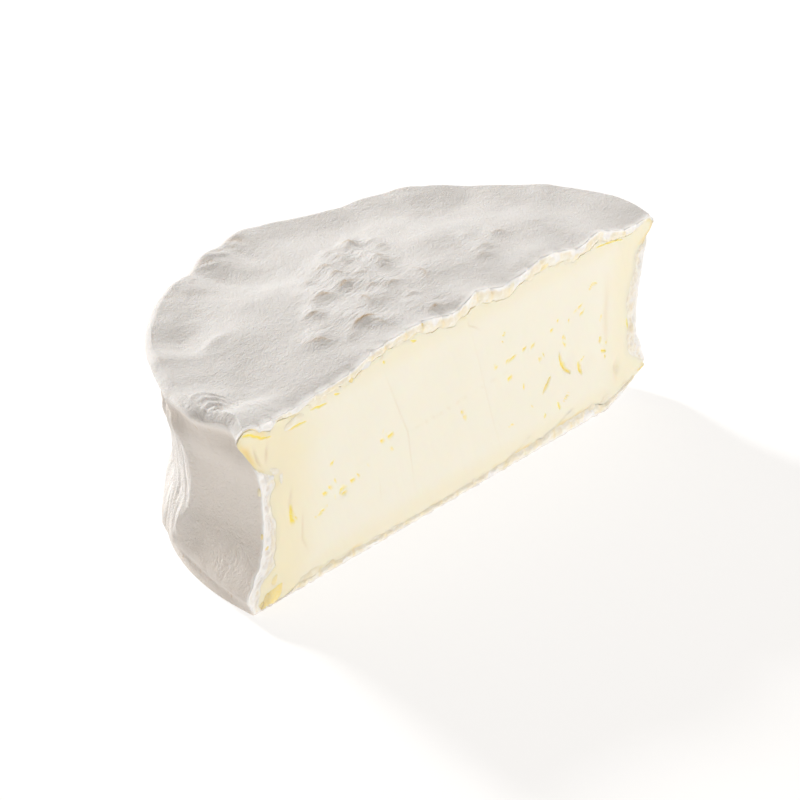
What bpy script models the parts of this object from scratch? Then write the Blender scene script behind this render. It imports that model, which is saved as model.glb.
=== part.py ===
"""Half of a small soft-ripened cream cheese wheel, cut straight across its middle.

The wheel has sagged as it ripened: its rim overhangs a drawn-in waist, its foot spreads a little on
the surface below, and its white rind is crumpled into small bumps and folds. The cut face shows a
smooth paste with a few tears. The whole half is one solid, because rind and paste are one piece of
food.

Units are millimetres until the mesh is made. Before it is moved to its origin the half wheel stands
with the wheel's centre at x = 0, y = 0, the cut face in the plane y = 0 and the body behind it at
y > 0. Angles run from the right end of the cut (0 degrees) round the back to its left end (180).
"""

import math

import bpy
import bmesh
from mathutils import Matrix, Vector, noise

MM = 0.001

# Overall sizes of the half wheel.
RIM_RADIUS = 62.5
RIM_HEIGHT = 41.3
CROWN_RISE = 2.8
WAIST_RADIUS = 58.2
FOOT_RADIUS = 62.2
BASE_RADIUS = 58.8

# How the rim's radius departs from RIM_RADIUS round the back, as (angle, change).
RIM_SWELL = (
    (0, 1.6), (8, 3.5), (18, 4.1), (30, 2.6), (45, 1.7), (58, 0.3), (72, -1.3), (84, -0.3),
    (97, 0.7), (110, -0.5), (122, 0.4), (140, 0.7), (152, 0.6), (160, 0.8), (166, 0.8), (169, -0.3),
    (172, -1.3), (175, -1.6), (177.5, -0.5), (180, 0.9),
)
# How the rim's height departs from RIM_HEIGHT round the back.
RIM_LIFT = (
    (0, 1.0), (8, 1.9), (18, 1.5), (30, 1.1), (45, 1.1), (60, 0.2), (72, -0.6), (90, 0.1), (105, -0.9),
    (125, -0.3), (150, -0.6), (160, -0.5), (168, -0.1), (175, 0.3), (180, -0.2),
)
# How the waist's radius departs from WAIST_RADIUS: a soft upright fold stands out at 157 degrees.
WAIST_SWELL = (
    (0, 1.5), (20, 1.6), (45, 0.2), (65, -1.2), (90, 0.2), (115, -0.8), (135, 0.0), (146, 1.6),
    (157, 1.7), (163, 0.4), (172, -0.9), (180, -0.7),
)
# How the foot's radius departs from FOOT_RADIUS: it hardly spreads at the left rear.
FOOT_SWELL = (
    (0, 0.8), (30, 0.2), (95, -0.6), (115, -1.6), (128, -2.5), (137, -1.9), (145, -0.3), (152, -0.4),
    (160, -0.9), (170, -1.0), (180, -0.2),
)
# How far the foot's edge and the base below it are turned up at the right end of the cut.
FOOT_LIFT = ((0, 4.2), (12, 3.0), (28, 0.4), (40, 0.0), (180, 0.0))
BASE_SWELL = (
    (0, -8.5), (12, -5.5), (28, -1.0), (60, -1.0), (95, -0.6), (130, -1.6), (143, 0.9), (152, 1.5),
    (180, 1.0),
)

# The side's profile: its points lie in from the rim, or out from the waist, the foot or the base.
CREST_INSET = 1.6
SHOULDER_INSET = 0.4
UNDERCUT_INSET = 2.0
NECK_OUT = 1.3
WAIST_LEAN = 0.3
FLARE_OUT = 1.2
TOE_INSET = 0.7
HEEL_OUT = 0.9
# How far the upper ones lie below the rim's crest, and the heights of the lower ones.
SHOULDER_DROP = 0.8
LIP_DROP = 2.2
UNDERCUT_DROP = 5.2
NECK_DROP = 9.5
WAIST_TOP = 26.0
WAIST_BOTTOM = 16.5
FLARE_HEIGHT = 10.5
FOOT_HEIGHT = 5.2
TOE_HEIGHT = 2.2
HEEL_HEIGHT = 0.25
# The share of the foot's lift that each of the lower ones takes.
FLARE_LIFT = 0.4
EDGE_LIFT = 0.5
TOE_LIFT = 0.7

# Height of the top above the rim's crest, from the middle (0) to the crest (1). From CREST_LEVEL of the
# way out the top follows the crest's own height.
CREST_LEVEL = 0.8
CROWN = ((0, 1.0), (0.3, 0.93), (0.5, 0.7), (0.65, 0.36), (0.8, -0.12), (0.88, -0.26), (0.96, -0.1), (1, 0))
# Unevenness of the top along the cut, as (x, height), and how far back it fades out.
CUT_LINE = (
    (-63, 0.0), (-52, 0.0), (-41, -0.5), (-33, -0.9), (-26, 0.6), (-11, 1.1), (-1, -0.8), (5, 1.4),
    (14, -0.6), (28, 1.4), (38, 0.3), (44, 2.2), (52, 0.7), (60, 0.0), (63, 0.0),
)
CUT_LINE_REACH = 7.0

# How fast a bump or a fold falls away from its middle.
STEEPNESS = 1.4

# Bumps of the crumpled rind on top, as (x, y, radius, height).
BUMPS = (
    (10, 40, 2.9, 1.3), (15, 34, 2.4, 1.0), (4, 38, 2.7, 1.1), (2, 34, 2.4, 1.2), (7, 28, 2.9, 1.4),
    (-3, 33, 2.7, 1.2), (-5, 26, 3.0, 1.5), (-12, 25, 2.9, 1.2), (0, 18, 2.9, 1.3), (9, 21, 3.0, 1.2),
    (7, 14, 2.7, 1.1), (-7, 18, 3.0, 1.3), (-20, 22, 3.0, 1.2), (-14, 13, 4.2, 2.0), (-16, 6, 3.0, 1.3),
    (-26, 15, 2.7, 1.0), (-23, 8, 2.9, 1.2), (-8, 7, 2.9, 1.1), (30, 18, 4.4, 1.3), (26, 15, 2.4, 1.0),
    (31, 7, 4.0, 1.2), (20, 26, 4.8, 0.9), (41, 16, 5.6, 0.9), (-36, 29, 5.6, 1.2),
)
# Soft hollows of the top, in the same terms.
HOLLOWS = ((-40, 37, 8.0, 1.6), (40, 4, 5.5, 1.0), (34, 34, 9.0, 1.0), (-44, 10, 9.0, 0.6))

# Folds that run over the rim, as (angle, half-width in degrees, height).
RIM_FOLDS = (
    (24, 4.0, 0.6), (40, 5.0, -0.6), (52, 4.0, 0.5), (66, 3.5, -0.4), (90, 3.0, 0.5), (96, 2.5, -0.7),
    (102, 2.8, 0.7), (108, 2.5, -0.6), (115, 3.5, 0.6), (128, 4.0, -0.4), (146, 3.5, 0.5),
    (157, 3.0, -0.3), (163, 2.6, 0.4), (168.5, 2.4, -0.4), (173, 2.4, 0.3),
)
# They rise from this share of the way out to the rim's crest, and are full from the second.
RIM_FOLD_INNER = 0.72
RIM_FOLD_OUTER = 0.95

# Upright folds of the side, as (angle, half-width in degrees, height).
SIDE_FOLDS = (
    (12, 5.0, 0.5), (33, 4.0, -0.5), (56, 6.0, 0.6), (80, 5.0, -0.5), (103, 4.5, 0.5), (124, 4.0, -0.6),
    (138, 3.0, 0.4), (145, 2.6, -0.4), (172, 2.5, 0.35),
)

# Fine unevenness of the rind, which fades out towards the flat base, and of the cut face.
RIND_ROUGHNESS = 0.35
RIND_ROUGHNESS_SIZE = 5.0
FLAT_HEIGHT = 1.0
FADE_HEIGHT = 6.0
CUT_DEPTH = 0.35
CUT_WAVE = 0.22
CUT_WAVE_SIZE = 14.0

# The rind's cut edge: how far it is worn back, and how its line wanders.
EDGE_WEAR = 0.9
EDGE_WEAR_LEAST = 0.2
EDGE_WANDER = 0.5
EDGE_WANDER_SIZE = 3.2

# Where in the noise each kind of unevenness is read.
OUTWARD_SEED = 3
UPWARD_SEED = 12
EDGE_SEED = 31
CUT_SEED = 47

# Tears in the cut face, as (x, z, length, width, depth, slant in degrees).
TEARS = (
    (33.0, 19.6, 4.4, 1.2, 2.4, -68), (39.4, 15.3, 2.8, 1.0, 1.8, -62), (28.6, 13.6, 4.0, 0.9, 1.8, 64),
    (47.2, 14.4, 3.4, 1.2, 1.8, -75), (16.2, 26.4, 2.6, 0.7, 1.4, 38), (33.4, 8.9, 2.8, 0.8, 1.4, 52),
    (1.1, 18.7, 2.6, 1.1, 1.5, 20), (-40.4, 15.9, 3.8, 0.8, 1.6, 44), (-34.6, 16.9, 2.6, 1.0, 1.5, -20),
    (42.7, 33.3, 2.4, 0.9, 1.4, 30),
)
GOUGE = (-48.8, 19.0, 11.0, 1.6, 1.3, -84)
# How much narrower a tear is at its two ends.
TEAR_TAPER = 0.55

# Mesh density: strips from the middle of the cut to its end, and rows down the side.
HALF_STRIPS = 30
SIDE_ROWS = 18
TEAR_RINGS = 4
TEAR_SIDES = 8

PASTE_COLOUR = (0.86, 0.80, 0.68, 1.0)
PASTE_ROUGHNESS = 0.7
SHARP_ANGLE = 40.0


def lookup(table, place):
    """Smooth curve through a table's (place, value) pairs."""
    last = len(table) - 1
    k = 0
    while k < last - 1 and place > table[k + 1][0]:
        k += 1
    (x0, y0), (x1, y1) = table[k], table[k + 1]
    span = x1 - x0
    f = min(1.0, max(0.0, (place - x0) / span))
    before = table[max(k - 1, 0)]
    after = table[min(k + 2, last)]
    slope0 = (y1 - before[1]) / (x1 - before[0]) * span
    slope1 = (after[1] - y0) / (after[0] - x0) * span
    return (
        (2 * f**3 - 3 * f**2 + 1) * y0 + (f**3 - 2 * f**2 + f) * slope0
        + (3 * f**2 - 2 * f**3) * y1 + (f**3 - f**2) * slope1
    )


def smooth_step(low, high, value):
    f = min(1.0, max(0.0, (value - low) / (high - low)))
    return f * f * (3 - 2 * f)


def bell(distance, half_width):
    """1 at the middle of a bump, falling smoothly to nothing outside it."""
    return math.exp(-STEEPNESS * (distance / half_width) ** 2)


def folds(table, angle):
    return sum(height * bell(angle - middle, width) for middle, width, height in table)


def rim_crest(angle):
    """Radius and height of the rim's crest."""
    radius = RIM_RADIUS + lookup(RIM_SWELL, angle) - CREST_INSET
    height = RIM_HEIGHT + lookup(RIM_LIFT, angle)
    return radius, height


def top_height(x, y, share, angle):
    """Height of the top at a point that lies share of the way out to the rim's crest."""
    crest = rim_crest(angle)[1]
    outward = smooth_step(0.0, CREST_LEVEL, share)
    level = RIM_HEIGHT * (1 - outward) + crest * outward
    height = level + CROWN_RISE * lookup(CROWN, share)
    height += lookup(CUT_LINE, x) * bell(y, CUT_LINE_REACH)
    for bump_x, bump_y, radius, rise in BUMPS:
        height += rise * bell(math.hypot(x - bump_x, y - bump_y), radius)
    for hollow_x, hollow_y, radius, drop in HOLLOWS:
        height -= drop * bell(math.hypot(x - hollow_x, y - hollow_y), radius)
    height += folds(RIM_FOLDS, angle) * smooth_step(RIM_FOLD_INNER, RIM_FOLD_OUTER, share)
    return height


def side_profile(angle):
    """(radius, height) points from the rim's crest over the lip, the waist and the foot to the base."""
    crest_radius, crest_height = rim_crest(angle)
    rim = RIM_RADIUS + lookup(RIM_SWELL, angle)
    waist = WAIST_RADIUS + lookup(WAIST_SWELL, angle) + folds(SIDE_FOLDS, angle)
    foot = FOOT_RADIUS + lookup(FOOT_SWELL, angle)
    lift = lookup(FOOT_LIFT, angle)
    base = BASE_RADIUS + lookup(BASE_SWELL, angle)
    lip = crest_height + folds(RIM_FOLDS, angle)
    return (
        (crest_radius, lip),
        (rim - SHOULDER_INSET, lip - SHOULDER_DROP),
        (rim, lip - LIP_DROP),
        (rim - UNDERCUT_INSET, crest_height - UNDERCUT_DROP),
        (waist + NECK_OUT, crest_height - NECK_DROP),
        (waist, WAIST_TOP),
        (waist - WAIST_LEAN, WAIST_BOTTOM),
        (waist + FLARE_OUT, FLARE_HEIGHT + FLARE_LIFT * lift),
        (foot, FOOT_HEIGHT + EDGE_LIFT * lift),
        (foot - TOE_INSET, TOE_HEIGHT + TOE_LIFT * lift),
        (base + HEEL_OUT, HEEL_HEIGHT),
        (base, 0.0),
    )


def profile_point(points, share):
    """Point share of the way along a smooth curve through the profile, never below the base."""
    scaled = [(k / (len(points) - 1), point) for k, point in enumerate(points)]
    radius = lookup([(k, point[0]) for k, point in scaled], share)
    height = lookup([(k, point[1]) for k, point in scaled], share)
    return radius, max(0.0, height)


def rough(x, y, z, size, seed):
    """Smooth unevenness between about -1 and 1 whose bumps are about size across."""
    return noise.noise(Vector((x / size + seed, y / size, z / size)))


def top_point(across, back):
    """Point of the top. across runs from -1 at the left to 1, back from 0 at the cut to 1 at the rear."""
    x = across * math.sqrt(1 - back**2 / 2)
    y = back * math.sqrt(1 - across**2 / 2)
    share = math.hypot(x, y)
    angle = math.degrees(math.atan2(y, x)) if share > 0 else 90.0
    radius = rim_crest(angle)[0] * share
    x = radius * math.cos(math.radians(angle))
    y = radius * math.sin(math.radians(angle))
    z = top_height(x, y, share, angle)
    return x, y, z


def side_point(angle, share):
    """Point of the side at an angle, share of the way from the rim's crest down to the base."""
    radius, z = profile_point(side_profile(angle), share)
    x = radius * math.cos(math.radians(angle))
    y = radius * math.sin(math.radians(angle))
    return x, y, z


def roughened(point):
    """The point moved by a small even noise, less near the base, so that the base stays flat."""
    x, y, z = point
    amount = RIND_ROUGHNESS * smooth_step(FLAT_HEIGHT, FADE_HEIGHT, z)
    outward = 1 + amount * rough(x, y, z, RIND_ROUGHNESS_SIZE, OUTWARD_SEED) / max(math.hypot(x, y), 1.0)
    upward = amount * rough(x, y, z, RIND_ROUGHNESS_SIZE, UPWARD_SEED)
    return x * outward, y * outward, z + upward


def arc_angles():
    """Angles of the side's columns, from the left end of the cut to the right, as the top meets them."""
    n = HALF_STRIPS
    edge = [(-1, k / n) for k in range(n)]
    edge += [(-1 + k / n, 1) for k in range(2 * n)]
    edge += [(1, 1 - k / n) for k in range(n + 1)]
    angles = []
    for across, back in edge:
        x = across * math.sqrt(1 - back**2 / 2)
        y = back * math.sqrt(1 - across**2 / 2)
        angles.append(math.degrees(math.atan2(y, x)))
    return angles


def cut_edge(point):
    """A point of the cut's outer edge, worn back from the plane of the cut along a wandering line."""
    x, y, z = point
    wear = EDGE_WEAR + EDGE_WANDER * rough(x, 0, z, EDGE_WANDER_SIZE, EDGE_SEED)
    return x, y + max(EDGE_WEAR_LEAST, wear), z


def cut_inside(left, right, top, bottom, corners, f, g):
    """Point inside the cut face, blended from its four edges. f runs across it and g down it."""
    blend = (1 - f) * left + f * right + (1 - g) * top + g * bottom
    blend -= (1 - f) * (1 - g) * corners[0] + f * (1 - g) * corners[1]
    blend -= (1 - f) * g * corners[2] + f * g * corners[3]
    wave = CUT_WAVE * rough(blend.x, 0, blend.z, CUT_WAVE_SIZE, CUT_SEED)
    return Vector((blend.x, CUT_DEPTH + wave, max(0.0, blend.z)))


def half_wheel():
    """Mesh of the whole half wheel: top, side, cut face and flat base, joined along their edges."""
    n = HALF_STRIPS
    rows = SIDE_ROWS
    bm = bmesh.new()

    def add(point):
        return bm.verts.new(point)

    top = {}
    for j in range(n + 1):
        for i in range(2 * n + 1):
            point = top_point(i / n - 1, j / n)
            point = roughened(point)
            if j == 0:
                point = cut_edge(point)
            top[i, j] = add(point)

    rim = [top[0, j] for j in range(n)]
    rim += [top[i, n] for i in range(2 * n)]
    rim += [top[2 * n, n - j] for j in range(n + 1)]

    angles = arc_angles()
    last = len(angles) - 1
    side = [rim]
    for row in range(1, rows + 1):
        ring = []
        for column, angle in enumerate(angles):
            point = side_point(angle, row / rows)
            point = roughened(point)
            if column in (0, last):
                point = cut_edge(point)
            ring.append(add(point))
        side.append(ring)

    base_front = [side[rows][0]]
    left, right = side[rows][0].co, side[rows][last].co
    for i in range(1, 2 * n):
        f = i / (2 * n)
        x = left.x + (right.x - left.x) * f
        base_front.append(add(cut_edge((x, 0.0, 0.0))))
    base_front.append(side[rows][last])

    cut = {}
    for i in range(2 * n + 1):
        cut[i, 0] = top[i, 0]
        cut[i, rows] = base_front[i]
    for row in range(1, rows):
        cut[0, row] = side[row][0]
        cut[2 * n, row] = side[row][last]
    corners = [cut[i, row].co for i, row in ((0, 0), (2 * n, 0), (0, rows), (2 * n, rows))]
    for row in range(1, rows):
        for i in range(1, 2 * n):
            edges = (cut[0, row].co, cut[2 * n, row].co, cut[i, 0].co, cut[i, rows].co)
            cut[i, row] = add(cut_inside(*edges, corners, i / (2 * n), row / rows))

    for j in range(n):
        for i in range(2 * n):
            bm.faces.new((top[i, j], top[i + 1, j], top[i + 1, j + 1], top[i, j + 1]))
    for row in range(rows):
        for column in range(last):
            upper, lower = side[row], side[row + 1]
            bm.faces.new((upper[column], upper[column + 1], lower[column + 1], lower[column]))
    for row in range(rows):
        for i in range(2 * n):
            bm.faces.new((cut[i, row], cut[i, row + 1], cut[i + 1, row + 1], cut[i + 1, row]))
    bm.faces.new(side[rows] + base_front[-2:0:-1])

    for vert in bm.verts:
        vert.co *= MM
    bmesh.ops.recalc_face_normals(bm, faces=bm.faces)
    mesh = bpy.data.meshes.new("cheese")
    bm.to_mesh(mesh)
    bm.free()
    return mesh


def tear_cutter(collection, name, tear):
    """A slim pointed lens, sunk into the cut face, that takes one tear out of it."""
    x, z, length, width, depth, slant = tear
    bm = bmesh.new()
    bmesh.ops.create_uvsphere(bm, u_segments=TEAR_SIDES, v_segments=TEAR_RINGS, radius=1.0)
    for vert in bm.verts:
        taper = 1 - TEAR_TAPER * abs(vert.co.z)
        vert.co.x *= width / 2 * taper
        vert.co.y *= depth
        vert.co.z *= length / 2
    bmesh.ops.rotate(bm, verts=bm.verts, matrix=Matrix.Rotation(math.radians(90 - slant), 3, "Y"))
    bmesh.ops.translate(bm, verts=bm.verts, vec=Vector((x, 0.0, z)))
    for vert in bm.verts:
        vert.co *= MM
    mesh = bpy.data.meshes.new(name)
    bm.to_mesh(mesh)
    bm.free()
    cutter = bpy.data.objects.new(name, mesh)
    cutter.hide_render = True
    cutter.display_type = "WIRE"
    collection.objects.link(cutter)
    return cutter


def cut_tears(cheese):
    """Take every tear out of the cheese with one Boolean difference, then drop the cutters."""
    collection = bpy.data.collections.new("tears")
    bpy.context.scene.collection.children.link(collection)
    cutters = [tear_cutter(collection, f"tear_{k}", tear) for k, tear in enumerate(TEARS + (GOUGE,))]
    modifier = cheese.modifiers.new("tears", "BOOLEAN")
    modifier.operation = "DIFFERENCE"
    modifier.operand_type = "COLLECTION"
    modifier.collection = collection
    bpy.context.view_layer.update()
    evaluated = cheese.evaluated_get(bpy.context.evaluated_depsgraph_get())
    torn = bpy.data.meshes.new_from_object(evaluated)
    cheese.modifiers.remove(modifier)
    cheese.data = torn
    for cutter in cutters:
        bpy.data.objects.remove(cutter)
    bpy.data.collections.remove(collection)


def stand_on_origin(mesh):
    """Move the mesh so that the origin is under the middle of its box, at the height of its base."""
    low = Vector([min(vert.co[axis] for vert in mesh.vertices) for axis in range(3)])
    high = Vector([max(vert.co[axis] for vert in mesh.vertices) for axis in range(3)])
    middle = (low + high) / 2
    mesh.transform(Matrix.Translation((-middle.x, -middle.y, -low.z)))


def cheese_material():
    material = bpy.data.materials.new("cheese")
    material.use_nodes = True
    shader = material.node_tree.nodes["Principled BSDF"]
    shader.inputs["Base Color"].default_value = PASTE_COLOUR
    shader.inputs["Roughness"].default_value = PASTE_ROUGHNESS
    shader.inputs["Metallic"].default_value = 0.0
    return material


def main():
    for thing in list(bpy.data.objects):
        bpy.data.objects.remove(thing)
    cheese = bpy.data.objects.new("cheese", half_wheel())
    bpy.context.scene.collection.objects.link(cheese)
    cut_tears(cheese)
    stand_on_origin(cheese.data)
    cheese.data.materials.clear()
    cheese.data.materials.append(cheese_material())
    cheese.data.shade_smooth()
    cheese.data.set_sharp_from_angle(angle=math.radians(SHARP_ANGLE))


main()
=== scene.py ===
"""Looks of half a soft-ripened cream cheese wheel: a crumpled white rind round a smooth ivory paste.

Shapes are worked out in millimetres, with the wheel's centre at x = 0, y = 0, the cut face in the
plane y = 0 and the body behind it at y > 0, and are then moved onto the CAD model's box. Angles run
from the right end of the cut (0 degrees) round the back to its left end (180).
"""

import functools
import math

import bmesh
import bpy
import numpy as np
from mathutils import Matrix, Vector


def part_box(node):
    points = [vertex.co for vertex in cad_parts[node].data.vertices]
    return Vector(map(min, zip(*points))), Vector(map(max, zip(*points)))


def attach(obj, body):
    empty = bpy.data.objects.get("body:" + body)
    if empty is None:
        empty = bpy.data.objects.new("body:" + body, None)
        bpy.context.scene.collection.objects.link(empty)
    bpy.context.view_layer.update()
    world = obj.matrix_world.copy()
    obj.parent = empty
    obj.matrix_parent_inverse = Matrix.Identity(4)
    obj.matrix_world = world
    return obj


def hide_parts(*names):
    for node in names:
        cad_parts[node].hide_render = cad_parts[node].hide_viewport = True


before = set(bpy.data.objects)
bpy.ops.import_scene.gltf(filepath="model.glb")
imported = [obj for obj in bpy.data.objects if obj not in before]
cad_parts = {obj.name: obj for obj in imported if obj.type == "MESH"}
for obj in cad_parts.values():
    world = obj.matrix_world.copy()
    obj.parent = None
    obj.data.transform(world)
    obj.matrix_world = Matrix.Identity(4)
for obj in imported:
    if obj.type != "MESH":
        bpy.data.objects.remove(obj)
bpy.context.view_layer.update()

MM = 0.001

# -------------------- the half wheel's sizes

RIM_RADIUS = 62.5
RIM_HEIGHT = 41.3
CROWN_RISE = 2.8
WAIST_RADIUS = 58.2
FOOT_RADIUS = 62.2
BASE_RADIUS = 58.8
MIDDLE_HEIGHT = 20.6

RIM_SWELL = (
    (0, 1.6), (8, 3.5), (18, 4.1), (30, 2.6), (45, 1.7), (58, 0.3), (72, -1.3), (84, -0.3), (97, 0.7),
    (110, -0.5), (122, 0.4), (140, 0.7), (152, 0.6), (160, 0.8), (166, 0.8), (169, -0.3), (172, -1.3),
    (175, -1.6), (177.5, -0.5), (180, 0.9),
)
RIM_LIFT = (
    (0, 1), (8, 1.9), (18, 1.5), (30, 1.1), (45, 1.1), (60, 0.2), (72, -0.6), (90, 0.1), (105, -0.9),
    (125, -0.3), (150, -0.6), (160, -0.5), (168, -0.1), (175, 0.3), (180, -0.2),
)
WAIST_SWELL = (
    (0, 1.5), (20, 1.6), (45, 0.2), (65, -1.2), (90, 0.2), (115, -0.8), (135, 0), (146, 1.6), (157, 1.7),
    (163, 0.4), (172, -0.9), (180, -0.7),
)
FOOT_SWELL = (
    (0, 0.8), (30, 0.2), (95, -0.6), (115, -1.6), (128, -2.5), (137, -1.9), (145, -0.3), (152, -0.4),
    (160, -0.9), (170, -1), (180, -0.2),
)
FOOT_LIFT = ((0, 4.2), (12, 3), (28, 0.4), (40, 0), (180, 0))
BASE_SWELL = (
    (0, -8.5), (12, -5.5), (28, -1), (60, -1), (95, -0.6), (130, -1.6), (143, 0.9), (152, 1.5), (180, 1),
)

# The side's profile: its points lie in from the rim, or out from the waist, the foot or the base.
CREST_INSET = 1.6
SHOULDER_INSET = 0.4
UNDERCUT_INSET = 2
NECK_OUT = 1.3
WAIST_LEAN = 0.3
FLARE_OUT = 1.2
TOE_INSET = 0.7
HEEL_OUT = 0.9
# How far the upper ones lie below the rim's crest, and the heights of the lower ones.
SHOULDER_DROP = 0.8
LIP_DROP = 2.2
UNDERCUT_DROP = 5.2
NECK_DROP = 9.5
WAIST_TOP = 26
WAIST_BOTTOM = 16.5
FLARE_HEIGHT = 10.5
FOOT_HEIGHT = 4.6
TOE_HEIGHT = 2.2
HEEL_HEIGHT = 0.25
# The share of the foot's lift that each of the lower ones takes.
FLARE_LIFT = 0.4
EDGE_LIFT = 0.5
TOE_LIFT = 0.7

# The crown of the top, over the share of the way to the rim, and what is added along the cut, over x.
CROWN = ((0, 1), (0.3, 0.93), (0.5, 0.7), (0.65, 0.36), (0.8, -0.12), (0.88, -0.26), (0.96, -0.1), (1, 0))
CUT_LINE = (
    (-63, 0), (-52, 0), (-41, -0.5), (-33, -0.9), (-26, 0.6), (-11, 1.1), (-1, -0.8), (5, 1.4),
    (14, -0.6), (28, 1.4), (38, 0.3), (44, 2.2), (52, 0.7), (60, 0), (63, 0),
)
CUT_LINE_REACH = 7
CROWN_START = 0.8

# Mounds of the crumpled patch, steep on their near side: (x, y, crest length, height, turn in degrees).
MOUNDS = (
    (10.9, 40.6, 3.4, 1.2, -44), (8.1, 38.4, 2.4, 0.6, -57), (14.4, 37.5, 2.3, 0.6, -30),
    (13.9, 34.1, 2.6, 0.7, 0), (3.1, 39.1, 2, 0.7, -28), (2.9, 35.8, 2.4, 0.8, -31),
    (2.4, 33.2, 1.7, 0.6, -33), (7.9, 33.2, 2.4, 0.6, -12), (8.3, 29.7, 3.5, 1, -11),
    (6.9, 27.5, 2.5, 0.9, -15), (5, 25.4, 2, 0.6, -5), (-2.6, 35.1, 4.3, 1.1, -39),
    (-3.5, 30.6, 2.9, 1, -19), (-5, 26.8, 5.3, 1.6, -6), (-0.7, 26.7, 2.8, 0.8, -39),
    (-3, 21.7, 3.4, 0.9, -41), (0.1, 18.6, 3.5, 0.9, -16), (-12.3, 26.2, 5.1, 1.4, -16),
    (-8.2, 18.1, 5.4, 1, -105), (-19.7, 22, 2.9, 1.1, -39), (-14.9, 12.8, 6.6, 1.9, -6),
    (-14.7, 7.8, 3.6, 0.9, -84), (-26.4, 14.2, 4.7, 1.2, -43), (-1.8, 5.5, 5.5, 1.3, 7),
    (8, 17, 8, 0.9, -110), (-1.1, 11.9, 2.3, 0.6, -11), (-9.6, 33.2, 2.5, 0.7, -14),
    (-22.6, 9, 2.2, 0.6, -24), (32.6, 17.9, 3.7, 0.9, -25), (25.6, 15.3, 3.5, 0.8, -16),
    (21.9, 12.7, 3.3, 0.8, -23), (27.1, 21.5, 2.3, 0.5, -24),
)
# A mound's place is where its crest seems to lie on a flat top, so it is moved towards the camera by
# its height times this.
MOUND_SHIFT = (1.3, 1.15)
# Its crest bends. Its far and near sides fall off in their own ways: (reach for its size, more reach,
# power).
MOUND_EXTRA = 0.5
MOUND_WIDTH = 1.2
MOUND_BEND = 0.25
MOUND_FAR = (2, 0, 1.6)
MOUND_NEAR = (0.45, 0.75, 1.35)
# Crests of mounds higher than TAN_FROM are tan, along a line of this (place, half width).
TAN_FROM = 0.45
TAN_LINE = (0.15, 0.45)
TAN_LENGTH = 0.8
# The rind is crumpled this far beyond the mounds, and fully where their heights sum to CRUMPLE_FULL.
CRUMPLE_REACH = 2.5
CRUMPLE_FULL = 1.5
# Wide soft swells and hollows of the top: (x, y, radius, height).
SWELLS = (
    (-41, 37.5, 7, -1.2), (40, 4, 5.5, -1), (34, 34, 9, -1), (-44, 14, 8, -0.6), (20, 26, 6, 0.9),
    (41, 16, 7, 0.9), (-36, 29, 7, 1), (-12, 44, 8, -0.8), (-20, 36, 9, 0.7), (-55, 2.5, 6.5, 0.7),
    (-48.5, 14, 5, -0.4),
)

RIM_FOLDS = (
    (24, 4, 0.6), (40, 5, -0.6), (52, 4, 0.5), (66, 3.5, -0.4), (90, 3, 0.5), (96, 2.5, -0.7),
    (102, 2.8, 0.7), (108, 2.5, -0.6), (115, 3.5, 0.6), (128, 4, -0.4), (146, 3.5, 0.5), (157, 3, -0.3),
    (163, 2.6, 0.4), (168.5, 2.4, -0.4), (173, 2.4, 0.3),
)
RIM_FOLD_INNER = 0.72
RIM_FOLD_OUTER = 0.95
SIDE_FOLDS = (
    (12, 5, 0.5), (33, 4, -0.5), (56, 6, 0.6), (80, 5, -0.5), (103, 4.5, 0.5), (124, 4, -0.6),
    (138, 3, 0.4), (145, 2.6, -0.4),
)
# The upright crest at the near end of the curtain-like folds: (height, angle). It falls off steeply
# towards the cut, and slowly on its far side.
CREST = ((0, 151), (4, 154.5), (7, 156), (13, 158.5), (20, 160.4), (30, 159), (34, 157), (42, 156))
CREST_RISE = 1.2
CREST_WIDTH = 1.3
CREST_FAR_WIDTH = 4.5
CURTAIN_START = (136, 144)
CURTAIN_END = (160, 157)
# Strength of the curtain's pleats and of the streaks beside it: (full, height where nothing, where full).
PLEAT_RISE = (0.5, 2, 6)
STREAK_LEAST = 0.05
STREAK_RISE = (0.08, 10, 20)
STREAK_SLANT = 0.12
# Small brown specks on the wall: (angle, height, radius).
SPECKS = (
    (154.7, 1.3, 0.3), (156.3, 1.4, 0.25), (159.3, 1.9, 0.35), (161.4, 2.5, 0.3), (163.4, 2.3, 0.4),
    (173, 2.5, 0.3), (173.9, 2, 0.3), (169.9, 27.5, 0.3), (164.7, 14.9, 0.2), (171.2, 16.6, 0.2),
    (159.3, 33.6, 0.25), (165.2, 35.8, 0.3), (168.8, 37, 0.25),
)

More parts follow.
